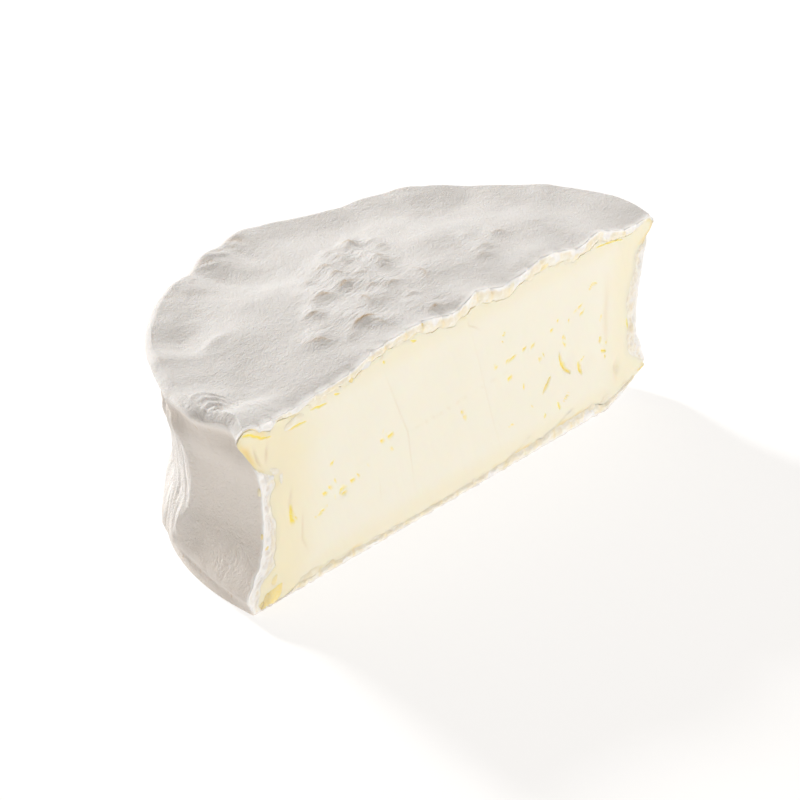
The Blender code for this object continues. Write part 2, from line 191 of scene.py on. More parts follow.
# Strokes drawn on the top: (path of (x, y) points, half-width, height, tan tint).
RIM_STROKES = (
    (((-11.4, 59.8), (-9.3, 59.9), (-6.4, 59.7), (-4.5, 58.4)), 0.3, -0.2, 0.45),
    (((-16.4, 58.2), (-14.8, 58.1), (-13.5, 57.4), (-12.1, 57.2)), 0.3, -0.2, 0.45),
    (((-18.1, 56.5), (-16.6, 56.6), (-15.6, 55.7)), 0.3, -0.18, 0.25),
    (((-20.6, 53.7), (-19.6, 53.8), (-17.4, 54.7)), 0.3, -0.18, 0.2),
    (((-24, 52.8), (-22.9, 52.8), (-22.7, 52.1)), 0.35, -0.25, 0.2),
    (((-32.6, 52.3), (-31.1, 51.9), (-29.6, 50.6)), 0.3, -0.15, 0.35),
    (((-28.8, 50.9), (-27.2, 49.8), (-25.6, 49.2)), 0.3, -0.15, 0.3),
    (((-4.7, 61.9), (-2.9, 60.2), (-2.1, 57.5)), 0.8, -0.3, 0.35),
    (((-13.5, 59.6), (-11, 58.4), (-7, 57.6)), 0.7, 0.5, 0),
    (((-19, 57.5), (-16, 57.2), (-13, 55.8)), 0.6, 0.5, 0),
    (((-22, 55), (-19, 54.9), (-15, 54)), 0.7, 0.5, 0),
    (((-37.3, 42.7), (-38.7, 38), (-39.4, 35.1), (-40.1, 33.4)), 0.6, 0.35, 0.1),
    (((-41.9, 33.6), (-40.5, 31.4), (-35.9, 30.6)), 1.8, 0.6, 0),
    (((-51.2, 2.2), (-51.3, 8.8), (-52.7, 14.1), (-55, 17.7), (-57.5, 18.4), (-60.1, 16.5)), 0.4, 0.37, 0),
    (((-52.1, 3.3), (-52.7, 10.3), (-54.3, 14.5), (-56.7, 16.1), (-58.9, 15.7)), 0.4, 0.37, 0),
    (((-53.2, 5), (-54.1, 9.9), (-55.5, 12.9), (-57.4, 14.1), (-59.3, 13.5), (-60.8, 12)), 0.4, 0.42, 0),
    (((-54.8, 7.3), (-55.8, 10.6), (-57.4, 12.2), (-59.2, 11.8), (-60.6, 10.5)), 0.38, 0.42, 0),
    (((-56.4, 8.1), (-57.3, 10.1), (-58.6, 10.6), (-60.1, 9.6)), 0.35, 0.42, 0),
    (((-58.3, 22.5), (-59.4, 20.6), (-61.1, 17.7), (-61.9, 15.4), (-62.1, 13.5)), 0.3, -0.05, 0.25),
)
STROKE_ENDS = (0.03, 0.97)
# Painted highlight on the flap beside the horn: (x, y, radius), and its (strength, height where nothing,
# where full).
HIGHLIGHT_PATCH = (-57.5, 6.5, 8.5)
HIGHLIGHT_RISE = (0.8, 37.8, 39.4)
NEAR_HOLLOW = (-60.3, 18.2, 2.2, 0.4)

# Fades by height, from where a thing is nothing to where it is full: relief and tint of the top, relief
# round the rim, its turn from outwards to upwards, and the wall's relief with its parts.
TOP_RISE = (39.7, 40.6)
TOP_TINT = (39.8, 40.6)
SHOULDER = (36, 39)
LEAN = (36.5, 39.5)
WALL = (40, 36)
FLOOR_FADE = (0.3, 2)
CREST_FOOT = (1, 6)
# The wall's painted shade: a warm shade tint and a darker shade. The warm one grows with the angle, from
# its least share.
WARM_SHADE_FADE = (40, 37.5)
WARM_SHADE_LEAST = 0.3
WARM_SHADE_MORE = (0.7, 156, 164)
DARK_SHADE_FADE = (38.5, 36)
DARK_SHADE_NECK = (0.9, 28, 34)
DARK_SHADE_FOOT = (0.65, 12, 5)
TINY = 1e-6

# The cut. The paste's face lies FACE behind the foremost lumps of the torn rind's edge.
FACE = 0.6
# Width of the rind's section: over x along top and base, over height at the two ends.
TOP_BAND = (
    (-64, 0.5), (-60, 0.6), (-57, 1.7), (-54.6, 2.9), (-53, 1.3), (-50, 1.5), (-30, 2.2), (0, 2.8),
    (40, 3), (56, 2), (63, 0.6),
)
# The white flap of rind above the horn: (x, half width).
WHITE_FLAP = (-56, 2.4)
BOTTOM_BAND = (
    (-64, 2.4), (-59, 1.2), (-56, 0.4), (-52, 0.4), (-49, 1.6), (-40, 1.9), (-10, 1.5), (10, 1.9),
    (36, 3.2), (46, 3.2), (52, 1.8), (58, 1), (63, 0.6),
)
RIGHT_BAND = (
    (0, 1), (3, 0.6), (5, 0.15), (6.3, 0.4), (8, 1.9), (10, 3.8), (11.4, 4.6), (12.8, 4.3), (17.7, 3),
    (24, 4.1), (27.4, 3.9), (32.2, 3.2), (35.2, 4), (36.3, 2.6), (38.3, 0.3), (39.5, 0.1), (45, 0.1),
)
LEFT_BAND = (
    (0, 1.5), (2, 2.8), (4.2, 4.2), (6, 5.8), (8, 6.2), (11, 5.4), (14, 4.6), (17, 4.1), (19.4, 3.5),
    (22, 3), (24.3, 3.1), (26.2, 4.8), (28, 5), (29.5, 3.8), (31, 1.8), (32.4, 0.3), (33.5, 0.1),
    (45, 0.1),
)
# The horn at the left end, where the paste is bare: it fades in across and upwards, further out at its
# top.
HORN_ACROSS = (-53, -55.5)
HORN_HEIGHTS = (31, 32.6)
HORN_TOP = (39, 40.4)
HORN_TOP_SHIFT = 5
HORN_EDGE_SHIFT = 4
HORN_TURN = (1.7, 1.3)
HORN_WEAR = 0.85
HORN_NEED = 1.8
# Bare edges of the paste, as paths of (x, z) points.
TIP_EDGE = ((62.2, 41.4), (63.5, 40.8), (63.3, 38.8), (61, 37.3), (58.5, 36.3))
HORN_EDGE = (
    (-63.1, 40.9), (-63.1, 38.7), (-62.3, 37.6), (-61.2, 36.7), (-60.3, 34.8), (-59.1, 32.8),
    (-57.6, 31.1),
)
# Edges of the paste that are browned: (path, half width, strength, places where it fades out).
BROWN_EDGES = ((HORN_EDGE, 1, 0.8, (0.1, 0.95)), (TIP_EDGE, 0.6, 0.7, (0.2, 0.95)))
# Bare tips of the right end: fades going out, up and down.
TIPS = (((57, 60), (36, 38), (40.8, 40)), ((58, 61), (3, 4.5), (7.2, 6.2)))
# Wear, curl, rounding and lobes of the rind's edge at the cut, and how far its marks reach back.
EDGE_WEAR = 0.3
EDGE_LEAST = 0.05
NOTCH_WEAR = 0.6
NOTCH_LEVEL = 0.7
EDGE_CURL = 0.15
CURL_MEAN = 0.7
CURL_REACH = 1.5
# How far back from the cut the painted highlight along its edge reaches.
HIGHLIGHT_REACH = 1.1
SMOOTH_REACH = 1.2
ROUNDING = 0.16
ROUNDING_SHARE = 0.06
LOBE_RISE = 0.5
LOBE_LEVEL = 0.45
SCALLOP = 5.3
SCALLOP_POWER = 0.6
# How far the section's width varies, as shares of it.
SIDE_RAGGED = 0.2
TOP_RAGGED = 0.35
BOTTOM_RAGGED = 0.3
BAND_RADIUS = 58
TUCK_ACROSS = (-50, -58)
INSET_RADIUS = 60
LEAST_DEPTH = 0.02

# The torn section: where it belongs to the sides, and shares of its width from the outer edge inwards.
SIDE_SHARE = (0.45, 0.75)
SIDE_ACROSS = (45, 52)
OUTER_SHARE = 0.3
SEAM_SHARES = (0.5, 0.8)
# Its depths and rises.
FRONT_RISE = 0.15
LUMP_RISE = 0.25
SIDE_LUMP_RISE = 0.5
LOBE_SWELL = 0.3
FISSURE_DEPTH = 0.3
FISSURE_WIDTH = 0.18
SEAM_DEPTH = 0.02
SUNK = 0.5
FRONT_SUNK = (SUNK, 0.8, 1)
SECTION_BACK = 1.5
RIND_THICKNESS = 2.6
# Its colours.
FLAP_SHARE = (0.5, 0.05, 0.45)
WHITE_FLAP_SHARE = 1.5
BEIGE_TOP = 0.25
BEIGE_LUMPS = 0.1
BEIGE_SIDES = (0.2, 0.5)
BEIGE_SIDE_LUMPS = 0.3
BEIGE_LEFT = 0.25
NOTCH_STAIN = 0.45
NOTCH_POWER = 1.5
# Less painted highlight on the section's sides than at its top and base.
SIDE_HIGHLIGHT = 0.4
# Painted shade in the section's fissures, in the crease colour.
FISSURE_SHADE = 0.35

# Lumps of torn rind along the cut: (x, z, half length, half thickness, turn in degrees, tint, yellow,
# brown). A tint of 0 is white rind, and 1 the beige of its section.
LUMPS = (
    (-48.2, 37.9, 3.3, 0.95, 6, 1, 0.1, 0), (-41.2, 39.6, 3.4, 1.05, 2, 1, 0.15, 0),
    (-35.9, 39.9, 1.3, 0.7, -10, 0.9, 0.3, 0), (-33.6, 40.4, 1.2, 0.7, 10, 0.9, 0.2, 0),
    (-31.9, 40.5, 0.7, 1, 0, 1, 1, 0.1), (-27.3, 42.1, 2.1, 1.2, 12, 0.1, 0, 0),
    (-23.5, 41.5, 1.6, 0.7, 15, 0.9, 0.3, 0), (-17.9, 43.4, 1.8, 1.35, 0, 1, 0.1, 0),
    (-14, 43, 1.6, 0.75, 12, 1, 0.4, 0), (-10.8, 44.2, 0.9, 0.55, 20, 1, 1, 0.25),
    (-6.5, 43.1, 2.5, 0.8, -14, 1, 0.35, 0), (-3.6, 42.3, 1.7, 0.8, 0, 1, 0.1, 0),
    (2.6, 43.3, 2, 1.1, 0, 1, 0.3, 0), (6.6, 43.1, 1.8, 1.4, -12, 1, 0.1, 0),
    (9.3, 42.3, 0.8, 0.5, 0, 1, 0.9, 0), (15.2, 42.5, 3, 0.9, 4, 1, 0.05, 0),
    (22.6, 42.5, 1.6, 1.2, 0, 1, 0.2, 0), (27.4, 43.2, 2.5, 0.75, 14, 1, 0.6, 0),
    (31.2, 43.1, 1.6, 1, -20, 1, 0.2, 0), (35.2, 41.6, 2, 0.9, -8, 1, 0.1, 0),
    (40.2, 42.3, 2.8, 0.8, 14, 1, 0.3, 0), (45.8, 43.2, 2.3, 1.1, 0, 1, 0.15, 0),
    (50.5, 41.9, 2.6, 0.8, -14, 1, 0.1, 0), (54.6, 40.9, 2, 0.7, -14, 0.9, 0.2, 0),
    (-44.6, 1.5, 3.8, 1.35, 6, 1, 0.2, 0), (-38.5, 1.6, 1.8, 0.6, 0, 1, 0.3, 0.3),
    (-33.6, 1, 2.6, 0.8, 0, 1, 0.1, 0), (-25, 1, 2.2, 0.9, 0, 1, 0.05, 0),
    (-19.2, 0.9, 2.6, 0.9, 6, 1, 0.1, 0), (-15, 0.6, 1.4, 0.6, 0, 1, 0.4, 0.3),
    (-7.7, 0.7, 2.4, 0.8, -6, 1, 0.1, 0), (1.4, 0.5, 2.6, 0.8, 0, 1, 0.05, 0.1),
    (5.4, 0.9, 1.2, 1, 0, 1, 0.1, 0), (14.7, 0.8, 2.2, 0.9, 6, 1, 0.05, 0),
    (22.2, 0.9, 1.8, 0.9, 0, 1, 0.1, 0), (29.4, 1.3, 2.1, 1.2, 0, 1, 0.2, 0),
    (32.6, 1.5, 1.2, 1, 0, 1, 0.3, 0), (37, 1.8, 3, 1.1, 8, 0.9, 0.05, 0),
    (44.2, 2, 2.6, 1.3, 6, 0.9, 0.2, 0.1), (49.3, 2.9, 2.1, 1, 20, 0.9, 0.2, 0),
    (56.5, 4, 3.2, 0.6, 4, 0.8, 0.3, 0.1), (-53.4, 29.4, 2, 0.9, -20, 1, 0, 0),
    (-51.9, 27.4, 0.6, 1.7, 0, 1, 0, 0), (-54.8, 28.3, 1.5, 0.9, -8, 0.1, 0, 0),
    (-57, 16.2, 0.5, 0.7, 30, 1, 0.9, 0.2), (-56.2, 13.4, 0.7, 0.6, -20, 1, 1, 0.15),
    (-55.9, 15, 0.5, 0.9, 20, 0.1, 0, 0), (-57.5, 26.3, 0.5, 0.9, 0, 0.6, 0.4, 0),
    (-55, 2.2, 3.6, 2.4, 16, 1, 1, 0), (-54.4, 5.4, 1.2, 1.5, 20, 1, 0.7, 0),
    (-57, 1.4, 2.6, 2, 30, 1, 1, 0.1), (-57.9, 0.9, 1.4, 1.3, 20, 1, 1, 0.6),
    (61.6, 5.4, 1.7, 0.4, 10, 1, 1, 0.1),
)
# How the lumps differ from each other, bend and lie in the cut.
LUMP_STEP = 7.3
LUMP_BEND = 0.2
LUMP_WAVES = 2.9
LUMP_DEPTH = 0.2
LUMP_BULGE = 0.18
LUMP_BACK = 0.05
LUMP_SINK = 0.5

# Slits and pits of the cut face: (path of (x, z) points, half width, depth).
SLITS = (
    (((33.1, 20.2), (34, 17.8), (35.3, 15.7), (36.8, 14.4)), 0.42, 1.3),
    (((39.6, 15.7), (40.9, 12.5)), 0.42, 1.3), (((40.2, 15.6), (41.6, 16.2)), 0.2, 0.6),
    (((27.7, 13.2), (28.9, 14.4), (30.2, 16.1)), 0.38, 1.3),
    (((15.2, 25.5), (17.9, 25.6), (18.8, 26.1)), 0.24, 0.8), (((25.9, 21.5), (27.8, 22.3)), 0.22, 0.7),
    (((35, 8.2), (36.6, 9.6)), 0.25, 0.7), (((33.1, 8.8), (33.6, 6.8)), 0.28, 0.6),
    (((21.3, 17.8), (21.5, 16.7)), 0.2, 0.4), (((16.1, 20.7), (17.4, 21.5)), 0.2, 0.5),
    (((10.9, 26.2), (12.5, 25.6)), 0.2, 0.6), (((28.6, 6.9), (28.7, 7.7)), 0.25, 0.6),
    (((24, 11.7), (24.4, 11.1)), 0.2, 0.4), (((16.8, 9.6), (17.8, 9.9)), 0.2, 0.4),
    (((1.2, 19.5), (1.8, 19.7)), 0.35, 0.7), (((2, 17.9), (3.1, 17.6)), 0.3, 0.8),
    (((47.6, 15.3), (49.1, 14.8)), 0.35, 0.9), (((48.7, 13.9), (48.9, 12.9)), 0.25, 0.7),
    (((42.6, 32.2), (43.4, 32.9), (44.8, 32.8)), 0.25, 0.5),
    (((37.3, 28.7), (38.9, 28.9), (40.1, 29.4)), 0.2, 0.6), (((39.6, 27.1), (41.2, 27.9)), 0.22, 0.6),
    (((35.8, 27), (36.1, 27.4)), 0.25, 0.5), (((31.9, 28.5), (32.3, 28.5)), 0.2, 0.4),
    (((46.5, 23.2), (47.3, 24.4)), 0.2, 0.4), (((46.6, 17.7), (47.2, 18.9)), 0.3, 0.9),
    (((49, 16.5), (49.3, 17.1)), 0.25, 0.6), (((14.2, 31.9), (14.9, 32.7)), 0.2, 0.5),
    (((13.8, 30.6), (14.2, 31)), 0.2, 0.5), (((20.7, 26.2), (21.7, 26.5)), 0.25, 0.7),
    (((22.7, 25.7), (24.6, 26.2)), 0.24, 0.7), (((29.8, 27), (30.7, 27.2)), 0.2, 0.4),
    (((33.9, 24.2), (34.9, 23.2)), 0.2, 0.5), (((34.3, 22.5), (35.4, 21.3)), 0.2, 0.5),
    (((56.1, 19.5), (56.7, 17.4), (57.7, 15.9)), 0.3, 0.9), (((-23.6, 22.9), (-21.8, 23.7)), 0.22, 0.6),
    (((-21.1, 23.1), (-19.5, 23.5)), 0.22, 0.6), (((-23.3, 24.8), (-22.4, 25.1)), 0.2, 0.4),
    (((-20.4, 19.9), (-19.7, 20)), 0.2, 0.3), (((-42.4, 14.2), (-40.9, 14.4), (-38.8, 15)), 0.26, 0.8),
    (((-40.1, 18.1), (-38.6, 18.7), (-37.5, 19.5), (-36.5, 20)), 0.22, 0.6),
    (((-35.1, 16.3), (-34.4, 17.2), (-33.5, 17.3)), 0.45, 0.9),
    (((-34.6, 15.8), (-33.2, 15.8)), 0.32, 0.8), (((-32.1, 17.6), (-31.1, 17.8)), 0.25, 0.7),
    (((-30.2, 17.7), (-29.7, 18.8)), 0.22, 0.6), (((-27.5, 19.1), (-26.8, 19.2)), 0.2, 0.4),
    (((-36.9, 16.1), (-36.2, 16)), 0.22, 0.5), (((-38, 24.3), (-37.3, 24.4)), 0.2, 0.3),
    (((-49.4, 19.5), (-49, 16), (-48, 16.4)), 0.5, 0.7),
    (((-49.3, 36.8), (-47.2, 36.7), (-44.8, 36.6)), 0.26, 0.4),
    (((-43.3, 38.6), (-41.1, 38.3), (-39, 38.2)), 0.28, 0.4),
    (((-61.9, 40.6), (-60.6, 40.2), (-59.4, 39.8), (-58.2, 38.9), (-56.8, 38), (-54.6, 37.4)), 0.3, 0.4),
    (((44.8, 41.2), (47.6, 41), (50.3, 40.6), (53.5, 39.8)), 0.22, 0.4),
    (((-36.6, 39.2), (-35.3, 38.8)), 0.25, 0.35), (((-22.6, 40.9), (-22.2, 40.2)), 0.25, 0.35),
    (((-14.5, 42.3), (-12.9, 41.6)), 0.25, 0.35),
)
# How deep slits are for their depth, how squarely they end, and the raised lip beside them.
SLIT_DEPTH = 0.4
SLIT_POWER = 2.2
LIP_RISE = 0.1
LIP_PLACE = 1.9
LIP_WIDTH = 0.8
# Wide shallow dents of the cut face: (x, z, half width, half height, depth).
DENTS = (
    (52.9, 8.9, 0.9, 2.2, 0.8), (35.5, 17.5, 3, 3.2, 0.35), (41.5, 14.5, 2.4, 2.6, 0.3),
    (-34.5, 16.3, 2.2, 1.4, 0.3),
)
# Faint lines left by the knife: (path of (x, z) points, half width, depth).
KNIFE_LINES = (
    (((-22.7, 39.2), (-18.8, 30), (-15.2, 21.8), (-14.1, 14.4), (-12.9, 7.1)), 0.22, 0.10),
    (((2.9, 40.3), (7.5, 26), (11.8, 12), (15.2, 2.4)), 0.22, 0.05),
    (((-23.8, 15), (-23.2, 8.6)), 0.2, 0.05),
    (((-35.4, 20.1), (-25.9, 20.9), (-15.2, 21.5), (4, 22.5), (27.4, 23.8)), 0.2, 0.06),
    (((2.9, 40), (3.3, 38.6), (5.2, 37.6), (6.9, 36.2)), 0.2, 0.16),
    (((-49.2, 24.5), (-49.8, 20.4), (-49.2, 15)), 0.5, 0.18),
    (((-46, 17.7), (-46.2, 10.9), (-44.4, 7)), 0.4, 0.14), (((-55.5, 36.3), (-55.9, 31.7)), 0.4, 0.25),
    (((-59.4, 37.2), (-58.2, 33.6), (-56.6, 31)), 0.35, 0.25),
    (((48.6, 33), (48.4, 24), (49.2, 14)), 1, 0.10),
)
KNIFE_ENDS = (0.05, 0.95)
FACE_SLANT = (0.95, 0.32)

# Edge of the paste: how wide it is at the sides and at top and base, and where it stands open.
EDGE_SIDE = 1.3
EDGE_LEVEL = 0.8
OPEN_RANGE = (0.1, 0.7)
GAP_DEPTH = 0.05
SEAM_WIDTH = (0.2, 1.4)
# Fades of the cream colour: at the left end, the right end, the base and the top.
CREAM_LEFT = (1, -36, -52)
CREAM_RIGHT = (0.6, 46, 55)
CREAM_BASE = (0.5, 8, 3)
CREAM_TOP = (0.5, 36, 41)
# The paste's boundary lies in by these shares of the rind's section; its flank goes back in loops of
# (depth, least way in at the left).
PASTE_SHARE = 0.85
HORN_SHARE = 0.85
PASTE_LOOPS = ((0, 0.2), (0.5, 0.9), (1.2, 1.9), (2.1, 2.7), (3, 3.6), (4, 4.5))
PASTE_FLANK = 0.4
FLANK_SLOPE = 0.5
LAST_NEED = 1.2
PASTE_BACK = 1.2
PASTE_INSET = 3.2

# -------------------- noise

NOISE_SLOPES = 256
NOISE_GAIN = 1.6
BELL_FALL = 1.4
# Kinds of unevenness: (height, size of the bumps, seed, octaves).
MOUND_DRIFT_X = (0.28, 2.6, 23, 2)
MOUND_DRIFT_Y = (0.28, 2.6, 26, 2)
WRINKLES = (0.15, 1.1, 21, 2)
RIND_BUMPS = (0.07, 3.4, 31, 2)
RIND_GRAIN = (0.03, 1.1, 41, 2)
TOP_WAVES = (0.14, 7, 51, 1)
EDGE_RAGGED = (0.3, 2.4, 101, 3)
SCALLOP_DRIFT = (0.5, 8, 103, 1)
CURL_CHANGE = (0.6, 3.1, 107, 1)
BAND_RAGGED = (1, 4.2, 111, 3)
SECTION_LUMPS = (1, 1.9, 61, 3)
FACE_SWELL = (0.16, 16, 71, 2)
FACE_GRAIN = (0.02, 1.4, 75, 2)
SLIT_DRIFT_X = (0.22, 1.3, 81, 2)
SLIT_DRIFT_Z = (0.22, 1.3, 83, 2)
CREAM_LEFT_DRIFT = (2, 9, 91, 1)
CREAM_RIGHT_DRIFT = (1.5, 7, 92, 1)
LUMP_SWELL = (0.16, 0.9, 201, 2)
# Wrinkles and waves of the top are drawn out along the cut by these.
WRINKLE_STRETCH = 2.8
WAVE_STRETCH = 2.6
# Grain, in layers: (height, size across, size along, seed).
PLEATS = ((1, 2, 11, 53), (0.5, 0.9, 6, 54))
WIDE_STREAKS = ((1, 1.6, 16, 55),)
FINE_STREAKS = ((0.5, 0.7, 12, 56),)
FACE_STREAKS = ((0.03, 2.2, 60, 73), (0.018, 0.8, 40, 74))
# Noise drawn out in the plane of the cut: (size across, size upright, seed).
SIDE_LUMPS = (0.8, 3.5, 65)
FLAPS = (4.6, 9, 67)
FISSURES = (1.1, 3.2, 69)
OPEN_EDGE = (5, 5, 95)

# -------------------- mesh density

RIND_STRIPS = 280
RIND_ROWS = 40
RIND_BACK = 150
TOP_FOLD = 2
SIDE_FOLD = 5
FINE_STRIPS = RIND_STRIPS * TOP_FOLD
FINE_ROWS = RIND_ROWS * SIDE_FOLD
RING_REACH = 3
RING_STEPS = (0.82, 0.64, 0.48, 0.34, 0.22, 0.13, 0.06, 0)
STRIP_ROWS = 11
INNER_STRIPS = 56
INNER_ROWS = 8
# How close together the rind's columns lie, from the left end (-1) to the right, and its rows, from
# the cut (0) to the rear.
ACROSS_WEIGHT = (
    (-1, 5), (-0.82, 5), (-0.76, 2), (-0.5, 2), (-0.44, 2.9), (0.24, 2.9), (0.32, 1.5), (1, 1.5),
)
BACK_WEIGHT = (
    (0, 3.4), (0.32, 3.4), (0.4, 2.4), (0.72, 2.4), (0.85, 1.6), (1, 1.6),
)
SPACING_STEPS = 4001
PASTE_STRIPS = 460
PASTE_ROWS = 140
PASTE_FOLD = 10
BODY_BACK = 10
LUMP_DIVISIONS = 4
# Edges that turn by more than this many degrees are shaded as sharp ones.
SHARP = 48

# -------------------- the stage

CAMERA_ANGLE = -138.3
CAMERA_ELEVATION = 28.9
CAMERA_DISTANCE = 646.34
CAMERA_TARGET = (15.4, 30, 5.75)
CAMERA_LENS = 135
CAMERA_SENSOR = 36
CAMERA_CLIP = 0.01
# Lights: (name, angle round the wheel, elevation, size, power, colour).
LIGHTS = (
    ("key", 86, 28, 0.14, 9.9, (1, 1, 1)),
    ("fill", 288, 20, 0.6, 4.2, (1, 0.985, 0.965)),
    ("side", 168, 12, 0.4, 0.45, (1, 0.92, 0.82)),
)
LIGHT_DISTANCE = 1
LIGHT_TARGET = (0, 0, 0.02)
WORLD_COLOUR = (1, 0.935, 0.86)
WORLD_STRENGTH = 0.29
FLOOR_HALF = 3
FLOOR_LOOKS = {
    "Base Color": (0.3, 0.3, 0.3),
    "Roughness": 0.9,
    "Emission Color": (1, 0.985, 0.97),
    "Emission Strength": 0.77,
}

# -------------------- colours

RIND_WHITE = (0.855, 0.832, 0.808)
RIND_GREY = (0.80, 0.775, 0.75)
# A lighter white painted as highlight on the rind's edge at the cut, the section's outer rows and the flap
# beside the horn.
HIGHLIGHT_WHITE = (0.96, 0.945, 0.92)
# Painted shade of the wall: a warm shade tint, and a darker shade below the rim and near the base.
WARM_SHADE_COLOUR = (0.90, 0.84, 0.78)
DARK_SHADE_COLOUR = (0.75, 0.69, 0.63)
# Tan of crests, strokes, specks and lumps, which the rind has, also used as painted shade in the section's
# fissures.
TAN_AND_FISSURE_SHADE = (0.60, 0.44, 0.27)
SECTION_BEIGE = (0.88, 0.81, 0.66)
SECTION_PALE = (0.93, 0.89, 0.79)
STAIN_YELLOW = (0.97, 0.76, 0.30)
PASTE_IVORY = (0.91, 0.87, 0.74)
PASTE_CREAM = (0.90, 0.82, 0.60)
TEAR_YELLOW = (1, 0.80, 0.13)
SEAM_YELLOW = (0.88, 0.72, 0.40)
LINE_TAN = (0.80, 0.68, 0.50)
HORN_BROWN = (0.85, 0.62, 0.22)
LINE_STRENGTH = 4
# Patches of colour: (size in millimetres, detail, low and high ends of the noise that is used).
CLOUDS = (9, 3, 0.35, 0.7)
MOTTLES = (1.6, 4, 0.42, 0.6)
BLOTCHES = (0.8, 3, 0.35, 0.6)
BLOTCH_LEAST = 0.7
BREAKS = (0.9, 3, 0.3, 0.55)
# Fine relief: (size in millimetres, detail, roughness, stretch, turn in degrees) and its depth.
PORES = (0.5, 3, 0.6)
PORE_DEPTH = 0.29
DIMPLES = (1.3, 2, 0.5, (1.5, 1, 1), -25)
DIMPLE_DEPTH = 0.14
FINE_WRINKLES = (0.6, 2, 0.5, (4, 1, 1), 8)
FINE_WRINKLE_DEPTH = 0.5
FINE_WRINKLE_STRENGTH = 0.7
SECTION_STRENGTH = 0.12
PASTE_PORES = (0.5, 4, 0.6)
PASTE_PORE_DEPTH = 0.03
PASTE_PORE_STRENGTH = 0.4
RIND_LOOKS = {
    "Roughness": 0.85,
    "Subsurface Weight": 0.25,
    "Subsurface Scale": 0.001,
    "Subsurface Radius": (1.2, 1, 0.8),
    "Sheen Weight": 0.15,
    "Sheen Roughness": 0.6,
}
PASTE_LOOKS = {
    "Roughness": 0.5,
    "Subsurface Weight": 0.4,
    "Subsurface Scale": 0.001,
    "Subsurface Radius": (1.5, 1.1, 0.6),
}


# -------------------- helpers

def lookup(table, place):
    """Smooth curve through a table's (place, value) pairs; values may themselves be arrays."""
    places = np.array([row[0] for row in table], float)
    values = [np.asarray(row[1], float) for row in table]
    last = len(table) - 1
    place = np.asarray(place, float)
    k = np.clip(np.searchsorted(places, place, side="right") - 1, 0, last - 1)
    stack = np.stack([np.broadcast_to(value, place.shape) for value in values])
    index = np.indices(place.shape)

    def pick(j):
        return stack[(j, *index)]

    x0, x1 = places[k], places[k + 1]
    before, after = np.maximum(k - 1, 0), np.minimum(k + 2, last)
    span = x1 - x0
    y0, y1 = pick(k), pick(k + 1)
    f = np.clip((place - x0) / span, 0, 1)
    slope0 = (y1 - pick(before)) / (x1 - places[before]) * span
    slope1 = (pick(after) - y0) / (places[after] - x0) * span
    return (
        (2 * f**3 - 3 * f**2 + 1) * y0 + (f**3 - 2 * f**2 + f) * slope0
        + (3 * f**2 - 2 * f**3) * y1 + (f**3 - f**2) * slope1
    )


def ramp(low, high, value):
    """Smooth way from 0 at low to 1 at high; low may be the larger of the two."""
    f = np.clip((value - low) / (high - low), 0, 1)
    return f * f * (3 - 2 * f)


def bell(distance, half_width):
    """1 at the middle of a bump, falling smoothly to nothing outside it."""
    return np.exp(-BELL_FALL * (distance / half_width) ** 2)


def faded(place, kind):
    """Strength at a place, of a kind: (full strength, where it is nothing, where it is full)."""
    strength, nothing, full = kind
    return strength * ramp(nothing, full, place)


def spot(x, y, middle_x, middle_y, radius):
    """Round bump of a radius about a middle, 1 at its top."""
    return bell(np.hypot(x - middle_x, y - middle_y), radius)


def taper(place, start, end):
    """1 halfway along a stroke, falling towards its ends; start and end keep it from reaching 0."""
    return np.sin(np.pi * np.clip(place, start, end))


@functools.lru_cache(maxsize=None)
def noise_tables(seed):
    rng = np.random.default_rng(seed)
    order = rng.permutation(NOISE_SLOPES)
    slopes = rng.normal(size=(NOISE_SLOPES, 3))
    slopes /= np.linalg.norm(slopes, axis=1)[:, None]
    return np.concatenate([order, order, order]), slopes


def noise(x, y, z, seed):
    """Smooth gradient noise, about -1 to 1, with features about one unit across."""
    order, slopes = noise_tables(seed)
    point = np.stack(np.broadcast_arrays(x, y, z), -1).astype(float)
    cell = np.floor(point)
    f = point - cell
    cell = cell.astype(int) % NOISE_SLOPES
    fade = f**3 * (f * (f * 6 - 15) + 10)
    total = 0
    for corner in np.ndindex(2, 2, 2):
        i, j, k = (cell[..., axis] + corner[axis] for axis in range(3))
        slope = slopes[order[order[order[i] + j] + k]]
        weight = 1
        for axis in range(3):
            weight = weight * (fade[..., axis] if corner[axis] else 1 - fade[..., axis])
        total = total + weight * np.sum(slope * (f - np.array(corner)), -1)
    return total * NOISE_GAIN


def rough(x, y, z, size, seed, octaves=1):
    """Noise whose bumps are about size across, with finer ones added at half the size and strength."""
    total = 0
    for octave in range(octaves):
        step = size / 2**octave
        total = total + noise(x / step, y / step, z / step, seed + octave) / 2**octave
    return total


def uneven(x, y, z, kind):
    """Unevenness of a kind: (height, size of its bumps, seed, octaves)."""
    height, *rest = kind
    return height * rough(x, y, z, *rest)


def drawn_out(x, z, kind):
    """Noise in the plane of the cut, of a kind: (size across, size upright, seed)."""
    across, upright, seed = kind
    return noise(x / across, 0, z / upright, seed)


def grain(a, b, layers):
    """Grain along b, as a sum of layers: (height, size across, size along, seed)."""
    return sum(height * noise(a / across, b / along, 0, seed) for height, across, along, seed in layers)


